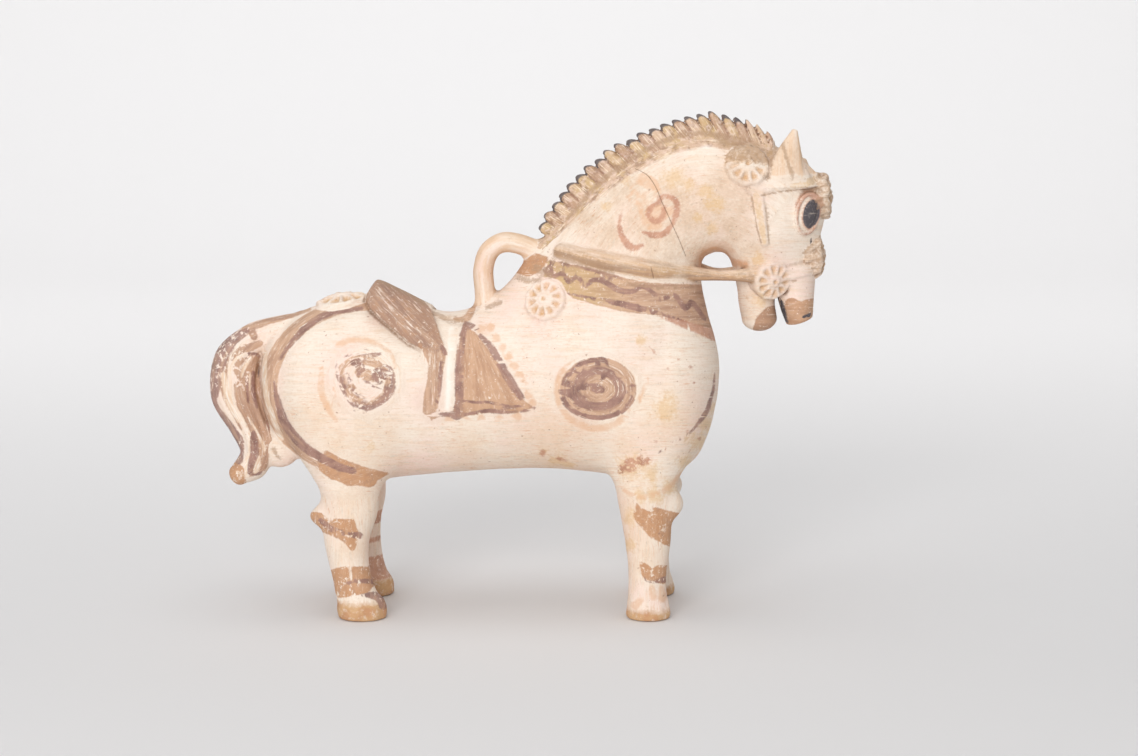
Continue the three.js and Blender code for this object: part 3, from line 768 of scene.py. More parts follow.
# Paint, drawn in millimetres of the side view; a motif is kept on the vertices as the distance to its edge.
paint = {
    "flap": [
        (-83.6, 196), (-88.9, 184), (-89.3, 180.4), (-86.9, 175.3), (-81.4, 169.9), (-72.8, 162.8),
        (-65, 155.8), (-57.2, 151.9), (-53.2, 143), (-53.6, 134.7), (-55.7, 125.7), (-56.5, 114.8),
        (-54, 113), (-51.5, 109.8), (-48.6, 114), (-47, 121.5), (-45.5, 134.7), (-43.2, 145.7),
        (-42.7, 150.5), (-45.5, 157.6), (-48.4, 166.4), (-51, 173.9), (-54, 178), (-61, 184),
        (-70.8, 190), (-78, 196),
    ],
    "flapDark": [((-45.4, 153), (-43.6, 149.5), (-43.6, 145.5)),
                 ((-45.4, 144), (-46.4, 134), (-47.4, 126), (-50, 114))],
    "flapRim": [((-82.6, 190), (-86.4, 182.6), (-84.6, 175.6), (-74, 166.2), (-63.6, 156.4)),
                ((-72, 186), (-58, 172), (-48, 158))],
    "flapWorn": [((-81, 187), (-76.4, 178), (-67, 168.6), (-58, 157)), ((-64, 177), (-58.6, 172.6)),
                 ((-52, 148), (-49, 138))],
    "gap": [((-39.6, 163), (-40.2, 145), (-41.6, 118)), ((88, 268), (101, 271), (115, 269))],  # whiter strips: one between the flap and the triangle, and a painted highlight along the neck under the mane
    "handleRoot": [(-3, 196), (2, 203), (9, 207.5), (17, 205), (12, 197), (5, 193.6)],
    "soilAndShadow": [  # greyish brown soiling, with painted shadow under the lower edges of the rein, the seat and the bridle straps: line and reach
        ([(22, 206.6), (32, 203.4), (44, 200.4), (52, 197.6)], 3.6),
        ([(-1, 193.4), (5, 191.4), (11, 191)], 2.0),
        ([(-50, 172.4), (-40, 168.6), (-33, 168.6)], 1.6), ([(-19, 176), (-12, 178.6)], 1.8),
        ([(9, 199), (17, 194.6)], 2.6),
        ([(118, 272), (130, 272), (142, 262)], 4.4),
        ([(60, 190), (80, 187.6), (100, 188.4)], 1.0), ([(158, 252), (155, 262), (152, 271)], 1.4),
        ([(143, 252), (146, 264), (150, 272)], 2.4), ([(-82, 191.4), (-70, 186.8), (-54, 177.4)], 1.7),
        ([(139, 240.6), (153.7, 243.4), (165, 244.4)], 0.6), ([(149, 189.4), (160, 191.6)], 0.8),
        ([(-143, 94), (-141, 90), (-139, 88)], 1.2),
        ([(28, 228), (48, 250), (74, 268), (100, 277), (126, 274)], 1.8),
        ([(134.6, 240), (137, 224), (139.8, 213.4)], 0.5), ([(142.2, 236), (144.6, 213)], 0.5),
    ],
    "warm": [  # broad warm tints: place and reach
        (84, 216, 20), (93, 240, 16), (72, 226, 15), (104, 206, 12), (-90, 96, 18), (20, 96, 26),
        (84, 112, 18), (112, 236, 14), (-118, 112, 16), (156, 262, 9), (40, 228, 12), (72, 74, 13),
        (74, 50, 11), (74, 30, 10), (-98, 62, 12), (-98, 36, 10), (-108, 100, 12), (-78, 104, 10),
        (135, 208, 9), (138, 184, 7), (60, 98, 10), (-30, 96, 12), (100, 228, 16), (60, 244, 16),
        (118, 246, 14), (50, 218, 12), (124, 222, 12), (64, 58, 9), (66, 42, 8), (68, 26, 8),
        (138, 176, 9), (126, 238, 10),
    ],
    "throat": [(104.7, 199.8), (105.8, 206), (111.8, 209.9), (118, 208.3), (121.9, 202.9), (130.5, 200.5)],
    "noseSlit": [((168.7, 215.6), (168.9, 211.6))],
    "triangle": [(-32.4, 167), (-24.5, 160), (-9, 139), (3, 121), (8.8, 118.3), (2, 115.6), (-8, 114.3),
                 (-18, 115), (-32, 112.8), (-39.5, 112), (-37.5, 121), (-37, 141), (-35, 158)],
    "triangleDark": [
        ([(-31.4, 166.5), (-33.8, 157), (-35.2, 141.4), (-35.2, 127.4), (-35.6, 119.6), (-37.6, 112.6)],
         (1.6, 2.4, 2.6, 2.3)),
        ([(-23.3, 159.7), (-16.3, 152), (-9.3, 139.3), (-2.9, 128.8), (1.3, 123.1)],
         (1.3, 2.2, 2.4, 2.6, 1.8)),
        ([(-31.7, 166.4), (-27.5, 165), (-24.2, 162.6)], (1.2, 1.6, 1.2)),
        ([(-33.9, 122), (-25.4, 120.7), (-18.4, 121), (-5, 118.2), (2, 119.4)], (0.7, 0.8, 0.7, 1.0, 0.6)),
        ([(-45.5, 114), (-38.8, 113.7), (-32.4, 113.8), (-25.4, 115), (-17.6, 116), (-7.9, 115),
          (2.7, 116), (8, 117.6)],
         (1.1, 1.6, 0.9, 0.9, 1.5, 0.8, 0.7, 1.2)),
    ],
    "scallopRadius": 2.7,
    "scallops": [
        (-40.9, 111.4), (-32.4, 110.6), (-22.6, 111.3), (-12, 111.2), (-1.5, 112.6), (-22.6, 163.4),
        (-17.4, 164.4), (-14, 158), (-10.4, 152.6), (-6.8, 147.4), (-3.4, 142), (-0.4, 136.6),
        (2.4, 131.2), (5.2, 125.4), (7.2, 120.6),
    ],
    "haunchArc": {"place": (-87.9, 129.4), "radii": (57.6, 48.6), "width": 8.8},
    "haunchDark": [
        ([(-92, 175.4), (-104.5, 174), (-111.5, 172.3), (-122.1, 166.2), (-129.1, 159.2), (-135.4, 152.1),
          (-139.2, 145.8)],
         (1.2, 1.8, 1.9, 1.9, 1.9, 1.5, 0.8)),
        ([(-142.8, 133), (-140.3, 120.5), (-136.8, 110), (-131.2, 101.5), (-123.5, 93.8), (-114.3, 88.2),
          (-104.5, 83.3), (-96.5, 81.2)], (0.5, 1.8, 2.5, 2.7, 2.7, 2.6, 2.4, 1.9)),
    ],
    "haunchPatch": [(-113, 93.5), (-104, 88.5), (-92, 84), (-75.5, 79.8), (-79, 77.5), (-82.7, 75.5),
                    (-84, 72.6), (-88, 71.4), (-94, 72.6), (-100.3, 72.2), (-105, 75), (-109.5, 76.2),
                    (-117.5, 82)],
    "haunchEye": {"place": (-89.7, 133.9), "radii": (17.2, 16.2)},
    "haunchMarks": [
        ([(-80.2, 143.5), (-75, 140.5), (-73.4, 133.8), (-75, 127.1), (-79.5, 122.6), (-86.2, 118.2),
          (-90.6, 117.8), (-96.6, 119.3),
          (-101.8, 123.4)], (0.5, 1.0, 1.3, 2.0, 2.4, 1.8, 1.3, 0.8, 0.5)),
        ([(-101, 124.1), (-102.9, 130.1), (-105.1, 136), (-105.9, 140.5), (-105.1, 146.4)],
         (0.6, 1.6, 1.5, 1.2, 0.7)),
        ([(-102.5, 147.2), (-96.6, 148.8), (-89.1, 148.3), (-83.9, 148.3), (-80.9, 149.1)],
         (0.7, 0.6, 0.6, 1.5, 0.8)),
        ([(-96.6, 144.2), (-92.8, 142), (-93.6, 137.5)], (1.8, 2.6, 1.4)),
        ([(-98.8, 134.5), (-97.7, 133.6)], (0.8, 0.6)),
        ([(-81.7, 141.2), (-81.3, 136), (-83.2, 130.8), (-86.2, 130.1)], (0.9, 1.7, 1.5, 0.6)),
        ([(-100.3, 130.8), (-97.3, 128.6), (-93.6, 125.2), (-87.6, 124.1)], (0.8, 1.1, 0.8, 0.5)),
        ([(-95.1, 123), (-89.1, 122.5)], (0.4, 0.4)),
        ([(-96.6, 115.8), (-89.9, 114.5), (-86.9, 113.7)], (0.3, 0.4, 0.2)),
        ([(-91.4, 152), (-86.9, 151.5)], (0.3, 0.3)),
        ([(-99, 141.5), (-95.5, 145), (-89, 146)], (0.6, 1.0, 0.8)),
        ([(-99.6, 138.6), (-99.6, 134.4)], (0.8, 0.7)),
        ([(-78.6, 140), (-77, 134), (-78.4, 128)], (0.5, 0.8, 0.6)),
        ([(-96, 121.5), (-90, 119.6)], (0.6, 0.7)),
        ([(-88.4, 140.4), (-85.2, 138.6), (-85.4, 134)], (0.7, 0.8, 0.6)),
        ([(-90, 133), (-87, 131.6)], (0.9, 0.6)),
    ],
    "haunchWash": [
        ([(-101.3, 143), (-95.8, 145.4), (-89.1, 145.1), (-83.2, 143), (-77.8, 138.6)],
         (1.8, 2.6, 2.8, 2.4, 1.8)),
        ([(-76.6, 134), (-77.4, 127.5), (-82, 122), (-87, 120.4)], (1.9, 2.2, 2.2, 1.4)),
        ([(-93, 138), (-88, 136.4), (-84, 135.3)], (3.0, 3.4, 3.0)), ([(-98, 131), (-95, 127.6)], (1.4, 1.2)),
        ([(-103.3, 141.2), (-102.6, 134.5), (-100.6, 128.6), (-96.6, 123.2), (-89.1, 120.4)],
         (1.8, 1.8, 2.0, 2.0, 1.4)),
    ],
    "haunchHalo": [
        ([(-105.5, 153.9), (-100.3, 156.5), (-92.8, 157), (-85.4, 155.7), (-78, 151.7), (-73.5, 146.4),
          (-72.4, 141.2)],
         (1.7, 1.7, 1.5, 1.5, 1.2, 1.1, 0.8)),
        ([(-115.2, 143.5), (-115.2, 136), (-115.5, 128.6), (-113.7, 121.9), (-110, 115.2), (-106.2, 110)],
         (0.8, 1.3, 1.7, 1.9, 1.6, 1.1)),
        ([(-108.5, 130), (-106.6, 122.6), (-103, 117)], (0.5, 0.7, 0.5)),
    ],
    "shoulderEye": {"place": (45.3, 128.8), "radii": (22.3, 18.3),
                    "core": 0.17, "rings": ((0.44, 0.71), (0.85, 1.0)),
                    "brokenRing": (0.28, 0.33)},
    "shoulderChips": [(59, 139, 4.2), (54, 144, 2.6), (64, 133.5, 2.4), (66, 126, 1.6)],
    "shoulderWhite": [(47.6, 121.6, 1.4, 1.7), (54, 117.4, 1.8, 1.2)],  # place, stretch and radius
    "shoulderDash": ([(69, 121), (71, 127), (74.6, 135.4)], (1.0, 1.4, 0.6)),
    "shoulderHalo": {"place": (44.4, 127.6), "radii": (24.0, 23.0)},
    "collar": [(16.5, 203.5), (31.7, 200.5), (47.2, 197), (61.3, 193), (72.4, 190.4), (90.9, 189.6),
               (118, 189), (118, 160), (110.9, 163.4), (93.1, 168.2), (79.8, 171.5), (70.2, 172.1),
               (59.1, 173.6), (47.2, 176.4), (30.2, 181.4), (24, 188), (13.2, 192)],
    "collarWave": [
        ([(17.6, 200), (19.5, 194.3), (25, 195.8), (28.4, 190.6), (33.2, 194.2), (37.6, 188.4),
          (42.8, 192.1), (49.4, 190.6), (56.8, 186.2), (65, 185.1), (70.9, 188.2), (77.6, 184),
          (82, 180.5), (89.4, 183.2), (95.7, 175.6), (99.8, 178.6),
          (107, 169.5)], (1.2, 1.4, 1.2, 1.8, 1.3, 1.3, 1.7, 1.3)),
        ([(18, 202.6), (31.7, 199.8), (47.2, 196.2), (61.3, 192.2)], (0.8, 0.9, 0.8)),
        ([(28, 184), (42.8, 181), (57.6, 178.2), (68.7, 175.6), (79.8, 172.6), (93.1, 169)],
         (0.7, 0.9, 1.5, 2.2, 1.2, 0.5)),
        ([(14.6, 198), (18.5, 193)], (1.6, 1.8)),
    ],
    "collarWedge": [(78, 172), (93.1, 169), (110.9, 163.6), (118, 161), (118, 153.5), (111.6, 156.8),
                    (102, 161), (93.1, 164.7), (85.7, 168)],
    "neckSpiral": [
        ([(80.5, 240.6), (85.7, 240.4), (90.1, 237.6), (90.9, 231.1), (88.7, 225.2)],
         (0.9, 1.4, 1.9, 1.9, 1.4)),
        ([(88.2, 223.6), (84.2, 219.3), (78.3, 217.8), (71.4, 219.4)], (1.3, 2.0, 1.8, 0.8)),
        ([(83.5, 234.1), (82.7, 228.2), (78.3, 226), (74.6, 229.7), (76.1, 234.1), (80.5, 236.6)],
         (1.3, 1.8, 1.9, 1.7, 1.4)),
        ([(58.6, 230.5), (57.6, 223), (59.1, 217.1), (63.5, 211.6), (67.2, 210.3), (71.6, 212.4)],
         (0.7, 1.0, 1.6, 2.1, 2.0, 0.9)),
    ],
    "neckFaint": [
        ([(71, 252), (76.5, 248), (80, 243)], (2.4, 3.2, 2.0)), ([(62, 240), (69, 236)], (1.0, 1.4)),
        ([(64, 244.5), (72, 239.5)], (0.8, 1.5)), ([(70, 233), (72, 224)], (1.2, 1.4)),
        ([(72, 226), (80, 229), (87, 232)], (1.6, 5.0, 2.4)), ([(66, 250), (74, 246)], (0.9, 1.6)),
        ([(76.6, 232.4), (80.4, 231.4)], (3.6, 4.4)), ([(78, 246), (71, 241)], (0.7, 0.9)),
        ([(79, 241), (71, 236.4)], (0.7, 1.0)),
        ([(75, 222), (82, 222.6)], (1.6, 1.4)),
    ],
    "neckCrack": [(66, 256.6), (70, 255), (74.6, 251.9), (79, 245.2), (82, 237.8), (86.4, 228.2),
                  (89.4, 221.5), (93.1, 213.4), (96.8, 203.8)],
    "reinCrack": [(75.6, 201), (77.6, 192.4)],
    "breastCord": [
        ([(60, 70.4), (66.1, 66.6), (72.1, 65.9), (78.8, 67.6), (84.8, 70.6), (88.8, 74), (92.8, 78.6),
          (99, 84.5), (104.5, 91)], (1.0, 1.4, 1.6, 1.6, 1.5, 1.4, 1.1, 0.8)),
    ],
    "breastLine": [
        ([(112.8, 138), (112.3, 129.5), (110.9, 123.8), (108.5, 116.2), (104.7, 110.5), (100.9, 105.8),
          (97, 102)],
         (0.4, 0.8, 0.9, 1.4, 1.4, 0.8, 0.5)),
        ([(95, 101), (92.4, 99.2), (88, 96.6)], (0.4, 0.7, 0.3)), ([(83, 93.4), (80, 91.6)], (0.6, 0.5)),
    ],
    "hockBand": [(-124, 57.4), (-115.6, 57), (-111.7, 53.6), (-96.2, 53.1), (-94.9, 48.6), (-93.3, 44.7),
                 (-95.6, 35), (-98.1, 34.7), (-102, 39.6), (-109.1, 43.4), (-114.3, 45.4), (-120.8, 49.9),
                 (-124, 52)],
    "hindBand": [(-110.5, 23.4), (-104.6, 25.3), (-87.6, 26), (-85.8, 19), (-84.5, 15), (-88, 10.5),
                 (-93, 9.4), (-105.3, 7.2), (-107, 10), (-112, 20)],
    "foreBand": [(64.8, 63.7), (67.5, 63), (70.1, 59.7), (75.5, 57.9), (76.8, 60.6), (80.8, 59.5),
                 (93.6, 56.2), (90.1, 53), (88.6, 50.4), (88.4, 36.8), (83.5, 38.4), (74.8, 43.1),
                 (71.5, 47.1), (66.8, 51.7), (65.8, 57), (68.8, 57.7)],
    "foreLow": [(69.1, 28.4), (72.8, 27.7), (76.8, 24.4), (79.5, 26.4), (85.8, 26.4), (86, 18.4),
                (83.5, 15.1), (79.5, 16.4), (71.5, 18.4), (69.5, 25.1)],
    "legDark": [
        ([(-115.6, 52.5), (-109.1, 47.3), (-101.4, 44.7), (-93, 43.6)], (1.5, 1.8, 1.5, 2.0)),
        ([(-104.6, 15.2), (-98.6, 16.2)], (0.7, 1.2)), ([(-96.2, 17.4), (-84.5, 17)], (1.2, 1.5)),
        ([(-91.5, 9.0), (-86, 9.0), (-81.5, 7.2), (-79.6, 2.6)], (0.7, 2.0, 2.8, 2.2)),
        ([(74, 46.4), (81, 45)], (0.4, 0.6)), ([(71.6, 19), (76, 17.6), (85, 18.2)], (0.9, 1.6, 1.9)),
    ],
    "farHindBand": (10.5, 24.5),
    "farHindMarks": [(48.0, 4.0), (34.4, 1.6)],  # height and half width
    "legPale": [((-113, 54.4), (-110.6, 51.6)), ((-108, 45.8), (-105.6, 44.6)),
                ((-101, 43.4), (-98.6, 42.8)), ((-98.6, 25), (-98, 18)), ((84, 49.6), (83.2, 47))],
    "foreTan": [((76.4, 13), (77.4, 8.4)), ((82, 13), (82.6, 7.4)), ((70, 6), (66.6, 3))],
    "lipPatch": [(153.7, 180.2), (156.6, 181.6), (159.6, 181.4), (162.6, 179.2), (165, 180.2),
                 (168.6, 181.3), (173, 181), (173, 164), (152.6, 164), (153, 174)],
    "jawPatch": [(150, 177), (145.9, 176.9), (142.4, 175.9), (140, 173), (137, 169.6), (135.2, 164),
                 (134.6, 159), (150, 159)],
    "mouthSlit": 149.6,
    "seatEdge": ([(-38, 169.4), (-31, 169.6), (-26.4, 178)], (0.8, 2.2, 1.6)),
    "nostril": [((164.4, 170.4), (168.2, 171.6))],
    "bridleTan": [
        ([(137.3, 241), (138.6, 232), (140.1, 223), (141.8, 214)], (2.6, 2.4, 2.2, 1.6)),
        ([(158, 246), (165.3, 247.6), (173, 251)], (1.8, 2.6, 2.4)),
    ],
    "tailBrown": [
        [(-159, 144), (-156.6, 148), (-151.3, 149.4), (-150.8, 138), (-150.4, 124), (-145.6, 111.4),
         (-142.4, 102.2), (-142.4, 97.4), (-144.3, 95.4), (-145.8, 91.8), (-145.8, 85.6), (-147.6, 81.5),
         (-157, 77.5), (-157.4, 90), (-156, 103), (-161, 113), (-164.6, 119), (-164.8, 130), (-163, 138)],
        [(-170, 85.4), (-164, 86.4), (-160.4, 83.4), (-158.6, 74), (-166, 70), (-172, 76)],
    ],
    "tailStrokes": [
        ([(-122.5, 174.8), (-138.4, 169.7), (-145.8, 167.9), (-153.1, 165.5), (-160.5, 163.4)],
         (1.2, 1.5, 1.7, 2.0, 1.8)),
        ([(-150.9, 155.1), (-156.1, 152.9), (-161.3, 151.4), (-165.3, 148.5), (-166.8, 145.8)],
         (2.0, 2.3, 2.3, 1.8, 0.8)),
        ([(-159.8, 146.3), (-163.9, 143.3), (-164.6, 139.6), (-163.5, 136.3)], (1.4, 1.9, 1.9, 1.0)),
        ([(-155.6, 162), (-154.2, 159)], (2.4, 2.2)),
        ([(-168.5, 149), (-170.6, 140), (-170, 130), (-167, 120)], (0.5, 0.9, 0.8, 0.4)),
        ([(-165.5, 133), (-164.5, 124), (-161, 114)], (0.5, 0.9, 0.6)),
        ([(-172.6, 140), (-173.4, 131), (-170.4, 121.6), (-165.6, 113), (-161.6, 105)],
         (0.5, 1.0, 1.1, 0.9, 0.6)),
    ],
    "tailDark": [
        ([(-158.7, 162.1), (-167.9, 156.6), (-170.5, 152.2), (-172.7, 148.8), (-174.6, 142.6),
          (-177.2, 137.8), (-176.6, 130.4), (-176.8, 124.8)], (2.0, 3.2, 4.2, 4.2, 3.8, 3.4, 3.0, 1.9)),
        ([(-178.6, 125.8), (-176.2, 118.4), (-172.2, 112.8), (-168.4, 107.6), (-165.2, 102.8),
          (-162.6, 98.8), (-162.2, 92.9), (-163, 87.2)], (1.8, 1.6, 1.6, 1.8, 2.0, 2.3, 2.3, 2.2)),
        ([(-154.3, 103), (-154.3, 94.8), (-153.9, 91.1), (-156.1, 85.6), (-156.8, 80)],
         (1.6, 2.6, 2.5, 2.0, 1.4)),
        ([(-159.8, 147.9), (-156.8, 148.9), (-153.1, 148.8), (-151, 147.4)], (0.6, 0.9, 0.9, 0.8)),
        ([(-158.6, 135), (-157.6, 121)], (0.9, 0.8)),
        ([(-154.6, 138), (-154.8, 128), (-152.6, 118)], (1.2, 1.4, 0.8)),
        ([(-150, 116), (-146.4, 108), (-143.6, 101)], (0.5, 0.8, 0.6)),
        ([(-155, 78.6), (-150, 80)], (0.7, 0.8)),
    ],
    "tailPale": [
        ([(-159.8, 149.2), (-164.2, 146.2), (-167, 142.6), (-168.3, 137.8)], (0.7, 0.8, 0.8, 0.9)),
        ([(-156.1, 147), (-158.7, 142.6), (-160.9, 138.9), (-161.6, 136)], (0.7, 0.9, 1.0, 0.8)),
        ([(-157.6, 102.9), (-157.2, 97.7), (-157.2, 92.6), (-158.7, 85.6), (-159.1, 77.1)],
         (0.6, 0.6, 0.9, 0.7, 0.7)),
        ([(-157.6, 112.2), (-154.6, 107), (-151.3, 101.1), (-149.5, 97.4), (-148.3, 92.9)],
         (0.5, 0.6, 0.6, 1.0, 0.8)),
        ([(-151.3, 89.3), (-152, 84.5), (-153.5, 80.6)], (0.7, 1.7, 1.2)),
        ([(-156.6, 138), (-156.8, 128)], (0.5, 0.4)),
        ([(-164, 80.6), (-161.6, 79.6), (-162.6, 76.6)], (0.7, 0.7, 0.7)),
        ([(-172, 137), (-168.6, 121), (-163, 110)], (1.6, 2.2, 1.2)),
        # a painted highlight along the groove between tail and haunch
        ([(-147.8, 150), (-148.4, 138), (-147, 124), (-142.6, 110), (-138.6, 100)],
         (1.4, 1.5, 1.5, 1.4, 1.6)),
    ],
    "tailCrack": [((-151.3, 142.6), (-152, 135.2))],
    "stains": [  # soft ochre soiling: place and reach
        (83.7, 117.8, 9.0), (64.4, 84.5, 9.5), (76.4, 80.0, 8.5), (89.4, 251.1, 8.0), (97.0, 247.0, 6.0),
        (50.2, 234.8, 4.0), (-86.2, 95.2, 4.6), (14.0, 92.0, 3.2), (20.5, 88.0, 5.0), (28.0, 86.0, 4.0),
        (96.0, 86.0, 6.0), (103.0, 98.0, 7.0), (108.0, 108.0, 6.0), (112.0, 118.0, 4.0),
        (70.0, 157.0, 4.0), (113.0, 236.0, 7.0), (103.5, 228.0, 4.0), (108.0, 243.0, 6.0),
        (138.0, 204.0, 4.5), (139.0, 180.0, 5.0), (64.0, 54.0, 6.0), (64.0, 38.0, 5.0), (78.0, 67.0, 6.0),
        (70.0, 66.0, 5.0), (87.0, 72.0, 5.0), (60.0, 252.0, 6.0), (112.0, 222.0, 5.0),
    ],
    "rubbed": [  # old red-brown traces: place and radius
        (64.0, 84.6, 4.2), (58.5, 82.2, 2.4), (69.5, 86.0, 3.4), (74.6, 87.4, 2.2), (13.6, 91.6, 2.2),
        (76.0, 152.6, 1.1), (82, 152.4, 0.9), (71, 151.8, 0.8), (78, 149.6, 0.8), (21, 88.4, 1.3),
        (27, 87.2, 1.0), (97, 104, 0.9), (92, 99.6, 1.0), (88, 97, 0.8), (84, 94, 0.9), (86, 140, 0.9),
        (92, 146, 0.7), (99, 141, 0.9), (79, 98, 0.8), (104, 100, 1.0), (98, 93, 0.9), (92, 89, 0.9),
        (108, 106, 0.8), (101, 132, 0.8), (70, 92, 0.9),
    ],
}

print("Horse: laying out the paint")


def vertexValues(kind):
    values = np.empty(len(mesh.vertices) * 3)
    mesh.vertices.foreach_get(kind, values)
    return values.reshape(-1, 3)


skin, lookOut = vertexValues("co") / mm, vertexValues("normal")
skinX, skinY, skinZ = skin.T
sideX, sideZ = sideView(skin)


def nearRows(rows, margin):
    rows = np.asarray(rows, float)
    lo, hi = rows.min(0) - margin, rows.max(0) + margin
    return np.nonzero((sideX > lo[0]) & (sideX < hi[0]) & (sideZ > lo[1]) & (sideZ < hi[1]))[0]


def stroke(rows, half):
    made = np.full(len(sideX), far)
    near = nearRows(rows, max(half) + 8)
    line = evenly(rows, np.linspace(0, 1, max(9, 5 * len(rows))))
    d, along = lineDistance(sideX[near], sideZ[near], line)
    made[near] = d - np.interp(along, np.linspace(0, 1, len(half)), half)
    return made


# Every stroke of a motif, each with its own half widths or all with the same.
def strokes(name, half=None):
    if half:
        return [stroke(rows, half) for rows in paint[name]]
    return [stroke(rows, own) for rows, own in paint[name]]


def patch(rows):
    made = np.full(len(sideX), far)
    near = nearRows(rows, 8)
    made[near] = patchDistance(sideX[near], sideZ[near], rows)
    return made


def spots(name):
    return [np.hypot(sideX - x, sideZ - z) - r for x, z, r in paint[name]]


def tints(name):  # soft round tints
    made = np.zeros(len(skin))
    for x, z, reach in paint[name]:
        made = np.maximum(made, np.exp(-((sideX - x) ** 2 + (sideZ - z) ** 2) / reach ** 2))
    return made


def fading(gap, reach):
    return np.exp(-(np.clip(gap, 0, far) / reach) ** 2)


def roundPlace(motif):
    u, v = (sideX - motif["place"][0]) / motif["radii"][0], (sideZ - motif["place"][1]) / motif["radii"][1]
    return np.hypot(u, v), np.arctan2(v, u), sum(motif["radii"]) / 2


def ringOf(e, inner, outer, size):
    return (np.abs(e - (inner + outer) / 2) - (outer - inner) / 2) * size


# Thin lines keep their side's sign, so that the shader can draw them finer than the mesh.
def crackSide(rows, reach=4.0):
    made = np.full(len(sideX), far)
    near = nearRows(rows, reach)
    line = evenly(rows, np.linspace(0, 1, 6 * len(rows)))
    d, along = lineDistance(sideX[near], sideZ[near], line)
    i = np.minimum((along * (len(line) - 1)).astype(int), len(line) - 2)
    way, rel = line[i + 1] - line[i], np.stack([sideX[near], sideZ[near]], 1) - line[i]
    turn = way[:, 0] * rel[:, 1] - way[:, 1] * rel[:, 0]
    ends = (along <= 0) | (along >= 1)
    made[near] = np.where(turn < 0, -d, d) + np.where(ends, far, 0)
    return made


reinLofts = [loftField(skin, form, rein["caps"]) for form in reinForms]
reinGap = np.minimum(*[loft[0] for loft in reinLofts])
reinAlong, reinAcross = (np.where(skinY < 0, *[loft[k] for loft in reinLofts]) for k in (1, 2))
handleGap, handleAlong, handleAcross = loftField(skin, handleForm)
tailGap, tailAlong, tailAcross = loftField(skin, tailForm, tail["caps"])
maneGap, maneAlong, maneAcross = loftField(skin, maneLoft)
rosetteGaps = [rosetteField(skin, spot) for spot in rosetteSpots]
rosetteGap = np.minimum.reduce(rosetteGaps)
onHandle, onTail, onMane, onRein = handleGap < 1.2, tailGap < 1.6, maneGap < 1.2, reinGap < 1.2
onRosette = rosetteGap < 0.8
eyeA, eyeB = np.full(len(skin), far), np.full(len(skin), far)
for spot in eyeSpots:
    near = np.linalg.norm(skin - spot["point"], axis=1) < 20
    eyeA[near], eyeB[near], _ = eyePlace(skin[near], spot)
    eyeA[near] *= spot["turn"]

legBands = ("hockBand", "hindBand", "foreBand", "foreLow")
flankPatches = ("flap", "triangle", "handleRoot", "haunchPatch", "collar", "collarWedge")
headPatches = ("lipPatch", "jawPatch")
gaps = {name: patch(paint[name]) for name in legBands + flankPatches + headPatches}
pigments = ("white", "pink", "ochre", "red", "purple", "pale", "black")
layers = {name: np.full(len(skin), far) for name in pigments}


def lay(name, *shapes):
    for shape in shapes:
        layers[name] = np.minimum(layers[name], shape)


def lift(name, *shapes):  # paint taken off again
    for shape in shapes:
        layers[name] = np.maximum(layers[name], -shape)


# flank and saddle
lay("ochre", gaps["flap"], gaps["triangle"], gaps["handleRoot"])
lay("purple", *strokes("triangleDark"), *strokes("flapDark", (1.2, 1.5, 1.0)))
# a whiter strip by the flap, and a painted highlight along the neck under the mane
lay("white", *strokes("gap", (1.4, 2.2, 1.8)))
for x, z in paint["scallops"]:
    lay("pink", np.hypot(sideX - x, sideZ - z) - paint["scallopRadius"])
motif = paint["shoulderEye"]
e, turn, size = roundPlace(motif)
wobble = unevenness(skin, 9, 31)
coil = e + 0.03 * turn / math.pi + 0.016 * np.sin(3 * turn) + 0.02 * wobble  # a slow spiral
lay("ochre", (e - 0.99) * size)
lay("purple", (coil - motif["core"]) * size, *[ringOf(coil, *ring, size) for ring in motif["rings"]])
lay("purple", np.where(np.cos(turn - 2.6) > -0.2, ringOf(coil, *motif["brokenRing"], size), far))
lift("purple", *spots("shoulderChips"))
for x, z, stretch, radius in paint["shoulderWhite"]:
    lay("white", np.hypot((sideX - x) / stretch, sideZ - z) - radius)
shoulderWear = np.clip((1.0 - e) * 8, 0, 1) * np.clip(0.35 + 0.5 * np.cos(turn - 0.7), 0.15, 1)
e, turn, size = roundPlace(paint["shoulderHalo"])
lay("pink", ringOf(e, 0.86, 1.03, size) + 5 * np.clip(np.cos(turn - 0.9) + 0.1, 0, 1))
lay("pink", stroke(*paint["shoulderDash"]))
e, turn, size = roundPlace(paint["haunchEye"])
lay("purple", *strokes("haunchMarks"))
lay("ochre", *strokes("haunchWash"))
lay("pink", *strokes("haunchHalo"))
onHaunchEye = np.clip((1.12 - e) * 8, 0, 1)
haunchWear = onHaunchEye * (0.24 - 0.3 * np.cos(turn + 0.9) * np.clip(e * 1.6 - 0.5, 0, 1))
e, turn, size = roundPlace(paint["haunchArc"])
arc = np.abs(e - 1) * size - paint["haunchArc"]["width"] / 2
arc = np.where((turn < 1.55) & (turn > -1.95), far, arc)
lay("ochre", arc, gaps["haunchPatch"])
lay("purple", *strokes("haunchDark"))
# neck, collar and breast
lay("ochre", gaps["collar"])
lay("purple", *strokes("collarWave"))
lay("red", gaps["collarWedge"], *strokes("neckSpiral"))
lay("pink", *strokes("neckFaint"), *strokes("breastCord"))
lay("purple", *strokes("breastLine"))
